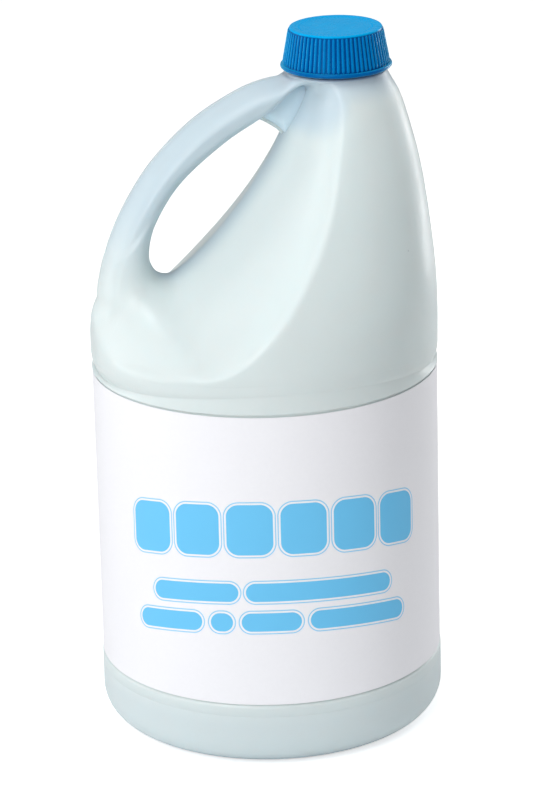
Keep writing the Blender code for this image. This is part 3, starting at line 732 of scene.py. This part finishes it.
def copies_round_axis(tree, given, shape):
    """Copies of the shape, evenly spaced round the upright axis at Centre X."""
    stations = tree.add("GeometryNodePoints")
    tree.put(stations.inputs["Count"], given["Count"])
    tree.put(stations.inputs["Position"], vector(tree, given["Centre X"], 0.0, 0.0))
    index = tree.add("GeometryNodeInputIndex").outputs[0]
    turn = tree.math("DIVIDE", tree.math("MULTIPLY", index, 2.0 * math.pi), given["Count"])
    copies = tree.add("GeometryNodeInstanceOnPoints")
    tree.put(copies.inputs["Points"], stations.outputs[0])
    tree.put(copies.inputs["Instance"], shape)
    turned_by = tree.add("FunctionNodeEulerToRotation")
    tree.put(turned_by.inputs[0], vector(tree, 0.0, 0.0, turn))
    tree.put(copies.inputs["Rotation"], turned_by.outputs[0])
    return copies.outputs[0]


def ribs_tree(mat):
    """Straight ribs round the cap's tapered skirt."""
    names = {"Count": 1, "Centre X": 0.0, "Foot Radius": 0.0, "Top Radius": 0.0, "Foot Z": 0.0, "Top Z": 0.0,
             "Rib Radius": 0.0}
    tree, given, result = geometry_tree("cap_ribs", names)
    line = tree.add("GeometryNodeCurvePrimitiveLine")
    tree.put(line.inputs["Start"], vector(tree, given["Foot Radius"], 0.0, given["Foot Z"]))
    tree.put(line.inputs["End"], vector(tree, given["Top Radius"], 0.0, given["Top Z"]))
    cut = tree.add("GeometryNodeResampleCurve")
    tree.put(cut.inputs["Curve"], line.outputs[0])
    tree.put(cut.inputs["Count"], 18)
    rib = rod(tree, cut.outputs[0], given["Rib Radius"], sides=10)
    close_tree(tree, copies_round_axis(tree, given, rib), result, mat)
    return tree


def dots_tree(mat):
    """Low round dots in a ring on the cap's top."""
    names = {"Count": 1, "Centre X": 0.0, "Ring Radius": 0.0, "Dot Radius": 0.0, "Height": 0.0}
    tree, given, result = geometry_tree("cap_dots", names)
    ball = tree.add("GeometryNodeMeshUVSphere")
    tree.put(ball.inputs["Segments"], 10)
    tree.put(ball.inputs["Rings"], 6)
    tree.put(ball.inputs["Radius"], given["Dot Radius"])
    flat = tree.add("GeometryNodeTransform")
    tree.put(flat.inputs["Geometry"], ball.outputs[0])
    tree.put(flat.inputs["Translation"], vector(tree, given["Ring Radius"], 0.0, given["Height"]))
    tree.put(flat.inputs["Scale"], vector(tree, 1.0, 1.0, 0.5))
    close_tree(tree, copies_round_axis(tree, given, flat.outputs[0]), result, mat)
    return tree


def thread_tree(name, mat):
    """A right-handed screw thread: a rod on a helix that thins out at both ends."""
    names = {"Centre X": 0.0, "Radius": 0.0, "Start Z": 0.0, "Pitch": 0.0, "Turns": 0.0, "Thickness": 0.0}
    tree, given, result = geometry_tree(name, names)
    line = tree.add("GeometryNodeCurvePrimitiveLine")
    cut = tree.add("GeometryNodeResampleCurve")
    tree.put(cut.inputs["Curve"], line.outputs[0])
    tree.put(cut.inputs["Count"], 160)
    along = tree.math("MULTIPLY", tree.add("GeometryNodeSplineParameter").outputs["Factor"], given["Turns"])
    angle = tree.math("MULTIPLY", along, 2.0 * math.pi)
    ahead = tree.math("MULTIPLY", given["Radius"], tree.math("COSINE", angle))
    x = tree.math("ADD", given["Centre X"], ahead)
    y = tree.math("MULTIPLY", given["Radius"], tree.math("SINE", angle))
    z = tree.math("ADD", given["Start Z"], tree.math("MULTIPLY", along, given["Pitch"]))
    moved = tree.add("GeometryNodeSetPosition")
    tree.put(moved.inputs["Geometry"], cut.outputs[0])
    tree.put(moved.inputs["Position"], vector(tree, x, y, z))
    close_tree(tree, rod(tree, moved.outputs[0], given["Thickness"], sides=12), result, mat)
    return tree


def bead_tree(mat):
    """A thin round bead along the object's own line of edges."""
    tree, given, result = geometry_tree("bead_on_line", {"Bead Radius": 0.0})
    curve = tree.add("GeometryNodeMeshToCurve")
    tree.put(curve.inputs[0], given["Geometry"])
    close_tree(tree, rod(tree, curve.outputs[0], given["Bead Radius"], sides=8), result, mat)
    return tree


def line_mesh(name, points):
    """Edges through (x, z) points in the parting plane."""
    mesh = bpy.data.meshes.new(name)
    places = [(float(x), 0.0, float(z)) for x, z in points]
    mesh.from_pydata(places, [(i, i + 1) for i in range(len(places) - 1)], [])
    return mesh


def shader_tree(name):
    """A new material, its tree and its principled shader."""
    mat = bpy.data.materials.new(name)
    mat.use_nodes = True
    tree = Tree(mat.node_tree)
    return mat, tree, mat.node_tree.nodes["Principled BSDF"]


def noise(tree, place, scale, detail):
    node = tree.add("ShaderNodeTexNoise")
    tree.put(node.inputs["Vector"], place)
    tree.put(node.inputs["Scale"], scale)
    tree.put(node.inputs["Detail"], detail)
    return node.outputs["Fac"]


def bump(tree, height, distance, before=None):
    node = tree.add("ShaderNodeBump")
    tree.put(node.inputs["Height"], height)
    tree.put(node.inputs["Distance"], distance)
    if before is not None:
        tree.put(node.inputs["Normal"], before)
    return node.outputs[0]


def bottle_plastic():
    """Milky polyethylene: satin, a little translucent, with a darker bluish tint, partly painted shade, at the
    hole's edge, the handle, the heel and under the cap, and painted light on the web.
    """
    mat, tree, shader = shader_tree("bottle_plastic")
    place = tree.add("ShaderNodeTexCoord").outputs["Object"]
    tint_and_shade = tree.add("ShaderNodeAttribute", attribute_name="tint_and_shade").outputs["Fac"]
    cloud = noise(tree, place, 22.0, 3.0)
    # Painted shade: a darker bluish tint at the hole's edge, the handle, the heel and under the cap
    tinted = tree.mix(tint_and_shade, tree.mix(cloud, *MILKY), BLUE_TINT_AND_SHADE)
    clear = tree.add("ShaderNodeAttribute", attribute_name="clear").outputs["Fac"]
    # Painted light: the web is coloured lighter and bluer than the shell
    tinted = tree.mix(clear, tinted, WEB_TINT_AND_LIGHT)
    cells = tree.add("ShaderNodeTexVoronoi", feature="F1")
    tree.put(cells.inputs["Vector"], place)
    tree.put(cells.inputs["Scale"], 46.0)
    specks = tree.steps(cells.outputs["Distance"], 0.012, 0.022, 0.35, 0.0)
    tree.put(shader.inputs["Base Color"], tree.mix(specks, tinted, SPECK_GREY))
    tree.put(shader.inputs["Roughness"], tree.steps(noise(tree, place, 60.0, 4.0), 0.3, 0.7, 0.34, 0.43))
    shader.inputs["Subsurface Weight"].default_value = 0.25
    shader.inputs["Subsurface Radius"].default_value = (0.6, 0.9, 1.0)
    shader.inputs["Subsurface Scale"].default_value = 0.004
    shader.inputs["IOR"].default_value = 1.5
    waves = bump(tree, noise(tree, place, 30.0, 1.0), 0.00035)
    grain = bump(tree, noise(tree, place, 1500.0, 2.0), 0.000012, waves)
    tree.put(shader.inputs["Normal"], grain)
    return mat


def cap_plastic():
    """Glossy blue polypropylene with painted light: painted shade in the grooves between the ribs, a painted
    glint on the rib crests seen edge-on, and a top painted lighter than the skirt.
    """
    mat, tree, shader = shader_tree("cap_plastic")
    place = tree.add("ShaderNodeTexCoord").outputs["Object"]
    flow = noise(tree, place, 110.0, 3.0)
    apart = tree.add("ShaderNodeSeparateXYZ")
    tree.put(apart.inputs[0], place)
    x, y, z = apart.outputs
    off_axis = tree.math("SUBTRACT", x, NECK_X)
    squares = tree.math("ADD", tree.math("MULTIPLY", off_axis, off_axis), tree.math("MULTIPLY", y, y))
    taper = (CORE_TOP_RADIUS - CORE_FOOT_RADIUS) / (CORE_TOP_Z - CORE_FOOT_Z)
    floor = tree.math("ADD", tree.math("MULTIPLY", z, taper), CORE_FOOT_RADIUS - taper * CORE_FOOT_Z)
    proud = tree.math("SUBTRACT", tree.math("SQRT", squares), floor)
    bead_top = CAP_BOTTOM_Z + CAP_BEAD_HEIGHT
    off_bead = tree.steps(z, bead_top, bead_top + 0.6 * MM, 0.4, 1.0)
    # Painted shade: the grooves between the ribs take a darker blue than the crests
    crest = tree.math("MULTIPLY", tree.steps(proud, 0.05 * MM, 0.16 * MM), off_bead)
    skirt = tree.mix(crest, tree.mix(flow, *GROOVE_SHADE_BLUE), tree.mix(flow, *CREST_BLUE))
    # Painted glint: the rib crests turn bright cyan where they are seen edge-on
    facing = tree.add("ShaderNodeLayerWeight").outputs["Facing"]
    glint = tree.math("MULTIPLY", crest, tree.steps(facing, 0.35, 0.80, 0.0, 0.95))
    skirt = tree.mix(glint, skirt, GLINT_BLUE)
    # Painted light: the top is coloured lighter than the skirt
    top_edge = (CAP_TOP_Z - 1.0 * MM, CAP_TOP_Z - 0.3 * MM)
    colour = tree.mix(tree.steps(z, *top_edge), skirt, tree.mix(flow, *CAP_TOP_LIT_BLUE))
    tree.put(shader.inputs["Base Color"], colour)
    tree.put(shader.inputs["Roughness"], tree.steps(noise(tree, place, 260.0, 3.0), 0.3, 0.7, 0.22, 0.34))
    tree.put(shader.inputs["IOR"], tree.steps(z, *top_edge, 1.3, 1.14))
    shader.inputs["Specular Tint"].default_value = SHEEN_BLUE
    tree.put(shader.inputs["Normal"], bump(tree, noise(tree, place, 2200.0, 2.0), 0.00002))
    return mat


def liner_foam():
    """White closed-cell foam."""
    mat, tree, shader = shader_tree("liner_foam")
    place = tree.add("ShaderNodeTexCoord").outputs["Object"]
    pores = tree.add("ShaderNodeTexVoronoi")
    tree.put(pores.inputs["Vector"], place)
    tree.put(pores.inputs["Scale"], 2400.0)
    shade = tree.steps(pores.outputs["Distance"], 0.1, 0.6)
    tree.put(shader.inputs["Base Color"], tree.mix(shade, *FOAM_WHITE))
    shader.inputs["Roughness"].default_value = 0.85
    tree.put(shader.inputs["Normal"], bump(tree, pores.outputs["Distance"], 0.0001))
    return mat


def rounded_bar_group():
    """A shader group: the distance of a place on the label from a bar with round corners."""
    group = bpy.data.node_groups.new("rounded_bar", "ShaderNodeTree")
    group.interface.new_socket("Distance", in_out="OUTPUT", socket_type="NodeSocketFloat")
    for name in ("U", "V", "Centre U", "Centre V", "Half Width", "Half Height", "Corner"):
        group.interface.new_socket(name, in_out="INPUT", socket_type="NodeSocketFloat")
    tree = Tree(group)
    given = tree.add("NodeGroupInput").outputs
    beyond = []
    for place, centre, half in (("U", "Centre U", "Half Width"), ("V", "Centre V", "Half Height")):
        away = tree.math("ABSOLUTE", tree.math("SUBTRACT", given[place], given[centre]))
        beyond.append(tree.math("SUBTRACT", away, tree.math("SUBTRACT", given[half], given["Corner"])))
    outside = [tree.math("MAXIMUM", side, 0.0) for side in beyond]
    squares = tree.math("ADD", tree.math("MULTIPLY", outside[0], outside[0]),
                        tree.math("MULTIPLY", outside[1], outside[1]))
    inside = tree.math("MINIMUM", tree.math("MAXIMUM", beyond[0], beyond[1]), 0.0)
    distance = tree.math("SUBTRACT", tree.math("ADD", tree.math("SQRT", squares), inside), given["Corner"])
    tree.put(tree.add("NodeGroupOutput").inputs[0], distance)
    return group


def label_film():
    """White satin film with plain blue shapes, each with a white border and a thin blue line round it."""
    mat, tree, shader = shader_tree("label_film")
    place = tree.add("ShaderNodeTexCoord").outputs["Object"]
    along = tree.add("ShaderNodeSeparateXYZ")
    tree.put(along.inputs[0], tree.add("ShaderNodeUVMap", uv_map="label_mm").outputs[0])
    group = rounded_bar_group()
    from_middle = tree.math("SUBTRACT", along.outputs[0], ARCH_MIDDLE)
    drop = tree.math("MULTIPLY", tree.math("MULTIPLY", from_middle, from_middle), ARCH_BEND)
    height = tree.math("ADD", along.outputs[1], drop)
    nearest = None
    for shape in LARGE_SHAPES + SMALL_SHAPES:
        bar = tree.add("ShaderNodeGroup", node_tree=group)
        for socket, value in zip(bar.inputs, (along.outputs[0], height, *shape)):
            tree.put(socket, value)
        nearest = bar.outputs[0] if nearest is None else tree.math("MINIMUM", nearest, bar.outputs[0])
    fill = tree.steps(nearest, -0.04, 0.04, 1.0, 0.0)
    ring = tree.math("ABSOLUTE", tree.math("SUBTRACT", nearest, 1.0))
    line = tree.steps(ring, 0.18, 0.30, 1.0, 0.0)
    ink = tree.math("MAXIMUM", fill, tree.math("MULTIPLY", line, 0.8))
    paper = tree.mix(noise(tree, place, 700.0, 3.0), *FILM_WHITE)
    tree.put(shader.inputs["Base Color"], tree.mix(ink, paper, INK_BLUE))
    tree.put(shader.inputs["Roughness"], tree.steps(noise(tree, place, 90.0, 3.0), 0.3, 0.7, 0.52, 0.6))
    shader.inputs["IOR"].default_value = 1.45
    fibres = bump(tree, noise(tree, place, 900.0, 3.0), 0.00002)
    tree.put(shader.inputs["Normal"], bump(tree, noise(tree, place, 16.0, 1.0), 0.0002, fibres))
    return mat


def make_shell(mat):
    """The bottle's smooth hollow shell, with an attribute for its darker bluish tint and painted shade."""
    bm = bmesh.new()
    outer = add_wall(bm, 0.0, OUTER_STEPS)
    inner = add_wall(bm, WALL, INNER_STEPS)
    add_strip(bm, outer, inner)
    bmesh.ops.mirror(bm, geom=bm.verts[:] + bm.edges[:] + bm.faces[:], axis="Y", merge_dist=1e-6)
    bmesh.ops.remove_doubles(bm, verts=bm.verts, dist=1e-6)
    shell = finish_mesh(bm, "bottle_shell", mat)
    mark_tint_and_shade(shell.data)
    return shell


def mark_tint_and_shade(mesh):
    """Writes where the wall gets a darker bluish tint, partly painted shade: at the hole's edge, the handle,
    the heel and the neck under the cap.
    """
    spots = np.zeros(len(mesh.vertices) * 3)
    mesh.vertices.foreach_get("co", spots)
    x, y, z = spots.reshape(-1, 3).T
    from_hole, _ = distance_to(HOLE_LINE, x, z)
    from_back, _ = distance_to(HANDLE_LINE, x, z)
    # Painted shade, darker and bluish, along the finger hole's edge
    hole_rim = 0.5 * np.exp(-(from_hole / (3.5 * MM)) ** 2) * np.exp(-(y / (6.0 * MM)) ** 2)
    # A darker bluish tint over the handle, partly painted shade
    handle = 0.6 * smooth_step((HANDLE_REACH - from_back) / (8.0 * MM))
    handle = handle * smooth_step((z - SEAM_Z) / (45.0 * MM) - 0.5)
    # Painted shade at the heel, deepest at the foot by the floor
    heel = 0.22 * smooth_step((HEEL_TINT_Z - z) / (12.0 * MM))
    heel = heel + 0.4 * smooth_step((FOOT_TINT_Z - z) / FOOT_TINT_Z)
    # Painted shade on the shoulder under the cap
    neck = 0.6 * smooth_step((z - NECK_TINT_Z) / (9.0 * MM)) * smooth_step((NECK_SHADE_Z - z) / (5.0 * MM))
    tint_and_shade = np.clip(np.maximum.reduce([hole_rim, handle, heel, neck]), 0.0, 1.0)
    mesh.attributes.new("tint_and_shade", "FLOAT", "POINT").data.foreach_set("value", tint_and_shade.astype(np.float32))


def make_web(mat):
    """The pinched web between the handle's root and the shoulder: a low pillow on both sides."""
    outline = np.vstack([spline(placed(WEB_LOWER_EDGE), 10), spline(placed(WEB_UPPER_EDGE), 6)])
    middle = outline.mean(axis=0)
    bm = bmesh.new()
    sections = []
    for deep, shrink in [(-d, k) for d, k in WEB_SECTIONS[::-1]] + [(0.0, 0.0), *WEB_SECTIONS]:
        places = lerp(outline, middle, shrink) + abs(deep) * np.array(WEB_LIFT)
        sections.append([bm.verts.new((x, deep * WEB_DEPTH, z)) for x, z in places])
    for near, far in zip(sections[:-1], sections[1:]):
        for k in range(len(near)):
            j = (k + 1) % len(near)
            bm.faces.new((near[k], near[j], far[j], far[k]))
    ends = [bm.faces.new(sections[0]), bm.faces.new(sections[-1])]
    bmesh.ops.triangulate(bm, faces=ends)
    web = finish_mesh(bm, "pinched_web", mat)
    mesh = web.data
    # Painted light: every point of the web takes the lighter, bluer tint
    mesh.attributes.new("clear", "FLOAT", "POINT").data.foreach_set("value", [1.0] * len(mesh.vertices))
    return web


def make_cap_body(mat):
    """The cap without its ribs: bead, tapered skirt, rounded top edge and a shallow dished top."""
    bore = NECK_RADIUS + CAP_BORE_GAP
    ceiling = CAP_TOP_Z - CAP_TOP_THICKNESS
    bead_top = CAP_BOTTOM_Z + CAP_BEAD_HEIGHT
    bead = CAP_BEAD_RADIUS - 0.6 * MM
    profile = [(bore, ceiling), (bore, CAP_BOTTOM_Z + 0.8 * MM), (bore + 0.8 * MM, CAP_BOTTOM_Z)]
    for i in range(7):
        angle = math.pi * (i / 6.0 - 0.5)
        profile.append((bead + 0.6 * MM * math.cos(angle),
                        CAP_BOTTOM_Z + 0.5 * CAP_BEAD_HEIGHT * (1.0 + math.sin(angle))))
    profile.append((CORE_FOOT_RADIUS + 0.15 * MM, bead_top + 0.05 * MM))
    profile.append((CORE_FOOT_RADIUS, CORE_FOOT_Z))
    profile.append((CORE_TOP_RADIUS, CORE_TOP_Z))
    for i in range(1, 6):
        angle = math.pi / 2.0 * i / 5.0
        profile.append((CORE_TOP_RADIUS - CAP_EDGE_RADIUS * (1.0 - math.cos(angle)),
                        CAP_TOP_Z - CAP_EDGE_RADIUS * (1.0 - math.sin(angle))))
    for inward, down in ((1.9, 0.0), (2.2, 2.0 / 9.0), (2.5, 7.0 / 9.0), (2.8, 1.0), (8.0, 1.0)):
        profile.append((CORE_TOP_RADIUS - inward * MM, CAP_TOP_Z - CAP_DISH_DEPTH * down))
    return finish_mesh(turned(profile, 3 * RIB_COUNT, NECK_X), "cap_body", mat)


def make_label(mat):
    """A strip wrapped round the panel. Its outer end laps over its inner end at the back."""
    outer = LABEL_RADIUS + LABEL_THICKNESS
    lap = LABEL_LAP / LABEL_RADIUS
    bm = bmesh.new()
    spots = bm.loops.layers.uv.new("label_mm")
    rows = []
    for i in range(LABEL_STEPS + 1):
        angle = math.pi / 2.0 - lap / 2.0 + (2.0 * math.pi + lap) * i / LABEL_STEPS
        lift = 1.1 * LABEL_THICKNESS * float(smooth_step((angle - 2.5 * math.pi + 0.6 * lap) / (0.2 * lap)))
        u = (angle - 1.5 * math.pi) * outer / MM
        section = [(LABEL_RADIUS + lift, LABEL_BOTTOM_Z), (outer + lift, LABEL_BOTTOM_Z),
                   (outer + lift, LABEL_TOP_Z), (LABEL_RADIUS + lift, LABEL_TOP_Z)]
        rows.append((u, [bm.verts.new((r * math.cos(angle), r * math.sin(angle), z)) for r, z in section]))
    for (ua, a), (ub, b) in zip(rows[:-1], rows[1:]):
        for k in range(4):
            n = (k + 1) % 4
            face = bm.faces.new((a[k], a[n], b[n], b[k]))
            for loop, u in zip(face.loops, (ua, ua, ub, ub)):
                loop[spots].uv = (u, loop.vert.co.z / MM)
    bm.faces.new(rows[0][1])
    bm.faces.new(rows[-1][1])
    return finish_mesh(bm, "wrap_label", mat)


def seen_from(azimuth, elevation):
    """The direction towards a place at that azimuth, round from the front, and elevation."""
    return Vector((math.sin(azimuth) * math.cos(elevation), -math.cos(azimuth) * math.cos(elevation),
                   math.sin(elevation)))


def area_light(name, toward, distance, width, height, power):
    """A soft lamp at an azimuth and elevation in degrees from the camera's side, aimed at the bottle."""
    away = seen_from(math.radians(toward[0]) + CAMERA_AZIMUTH, math.radians(toward[1]))
    lamp = bpy.data.lights.new(name, "AREA")
    lamp.shape = "RECTANGLE"
    lamp.size = width
    lamp.size_y = height
    lamp.energy = power
    obj = new_object(name, lamp)
    obj.location = LAMP_AIM + away * distance
    obj.rotation_euler = away.to_track_quat("Z", "Y").to_euler()


def make_camera():
    back = seen_from(CAMERA_AZIMUTH, CAMERA_ELEVATION)
    level = (-back).cross(Vector((0.0, 0.0, 1.0))).normalized()
    upright = level.cross(-back)
    right = level * math.cos(CAMERA_ROLL) + upright * math.sin(CAMERA_ROLL)
    up = upright * math.cos(CAMERA_ROLL) - level * math.sin(CAMERA_ROLL)
    data = bpy.data.cameras.new("camera")
    data.sensor_width = 36.0
    data.lens = CAMERA_LENS
    data.clip_start = 0.05
    camera = new_object("camera", data)
    turn = Matrix((right, up, back)).transposed().to_4x4()
    camera.matrix_world = Matrix.Translation(CAMERA_TARGET + back * CAMERA_DISTANCE) @ turn
    bpy.context.scene.camera = camera


def make_floor():
    bm = bmesh.new()
    bmesh.ops.create_grid(bm, x_segments=1, y_segments=1, size=FLOOR_HALF_SIZE)
    bmesh.ops.translate(bm, vec=(0.0, 0.0, -FLOOR_DROP), verts=bm.verts)
    mat, tree, shader = shader_tree("studio_floor")
    shader.inputs["Base Color"].default_value = FLOOR_GREY
    shader.inputs["Roughness"].default_value = 0.9
    shader.inputs["Specular IOR Level"].default_value = 0.0
    shader.inputs["Emission Color"].default_value = WHITE
    seen = tree.add("ShaderNodeLightPath").outputs["Is Camera Ray"]
    tree.put(shader.inputs["Emission Strength"], tree.math("MULTIPLY", seen, FLOOR_GLOW))
    mesh = bpy.data.meshes.new("floor")
    bm.to_mesh(mesh)
    bm.free()
    mesh.materials.append(mat)
    new_object("floor", mesh)


def make_surround():
    """An even pale surround that the camera sees as plain white."""
    world = bpy.data.worlds.new("studio")
    world.use_nodes = True
    bpy.context.scene.world = world
    tree = Tree(world.node_tree)
    light = world.node_tree.nodes["Background"]
    light.inputs["Color"].default_value = WORLD_WHITE
    light.inputs["Strength"].default_value = WORLD_STRENGTH
    white = tree.add("ShaderNodeBackground")
    white.inputs["Color"].default_value = WHITE
    chosen = tree.add("ShaderNodeMixShader")
    tree.put(chosen.inputs[0], tree.add("ShaderNodeLightPath").outputs["Is Camera Ray"])
    tree.put(chosen.inputs[1], light.outputs[0])
    tree.put(chosen.inputs[2], white.outputs[0])
    tree.put(world.node_tree.nodes["World Output"].inputs["Surface"], chosen.outputs[0])


def thread_sizes(radius, start_z):
    """The inputs of a thread tree for one of the two threads, which share their pitch."""
    return {"Centre X": NECK_X, "Radius": radius, "Start Z": start_z, "Pitch": THREAD_PITCH,
            "Turns": THREAD_TURNS, "Thickness": THREAD_HEIGHT}


def make_bottle_pieces():
    plastic = bottle_plastic()
    fit(make_shell(plastic), "jug", "bottle_plastic", "bottle")
    fit(make_web(plastic), "jug", "bottle_plastic")
    right = np.vstack([[(BODY_RADIUS - 0.1 * MM, SEAM_Z - 0.2 * MM)], RIGHT_LINE - (0.1 * MM, 0.0)])
    back = HANDLE_LINE[(HANDLE_LINE[:, 1] >= PARTING_FOOT_Z) & (HANDLE_LINE[:, 0] > 0.4 * MM - BODY_RADIUS)]
    bead = bead_tree(plastic)
    for name, line, radius in (("web_rim", spline(placed(WEB_LOWER_EDGE), 16), WEB_RIM_RADIUS),
                               ("parting_line_right", right, PARTING_BEAD_RADIUS),
                               ("parting_line_handle", back, PARTING_BEAD_RADIUS)):
        fit(grow(name, bead, {"Bead Radius": radius}, line_mesh(name, line)), "jug", "bottle_plastic")
    neck_thread = thread_sizes(NECK_RADIUS - THREAD_SINK, NECK_THREAD_Z)
    fit(grow("neck_thread", thread_tree("neck_thread", plastic), neck_thread), "jug", "bottle_plastic")


def make_cap_pieces():
    plastic = cap_plastic()
    fit(make_cap_body(plastic), "cap", "cap_plastic", "screw_cap")
    ribs = {"Count": RIB_COUNT, "Centre X": NECK_X, "Rib Radius": RIB_RADIUS,
            "Foot Radius": CAP_SKIRT_RADIUS - RIB_RADIUS - 0.05 * MM,
            "Top Radius": CAP_TOP_RADIUS - RIB_RADIUS + 0.15 * MM,
            "Foot Z": CAP_BOTTOM_Z + CAP_BEAD_HEIGHT - 0.1 * MM, "Top Z": CAP_TOP_Z - 0.45 * MM}
    fit(grow("cap_ribs", ribs_tree(plastic), ribs), "cap", "cap_plastic")
    dots = {"Count": DOT_COUNT, "Centre X": NECK_X, "Ring Radius": DOT_RING_RADIUS, "Dot Radius": DOT_RADIUS,
            "Height": CAP_TOP_Z - CAP_DISH_DEPTH}
    fit(grow("cap_top_dots", dots_tree(plastic), dots), "cap", "cap_plastic")
    bore = NECK_RADIUS + CAP_BORE_GAP
    cap_thread = thread_sizes(bore + THREAD_SINK, NECK_THREAD_Z - THREAD_PITCH / 2.0)
    fit(grow("cap_thread", thread_tree("cap_thread", plastic), cap_thread), "cap", "cap_plastic")
    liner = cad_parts["cap_liner"]
    liner.data.materials.clear()
    liner.data.materials.append(liner_foam())


bpy.context.scene.view_settings.view_transform = "Standard"
make_camera()
make_floor()
make_surround()
for lamp in LAMPS:
    area_light(*lamp)
make_bottle_pieces()
make_cap_pieces()
fit(make_label(label_film()), "jug", "label_film", "label")
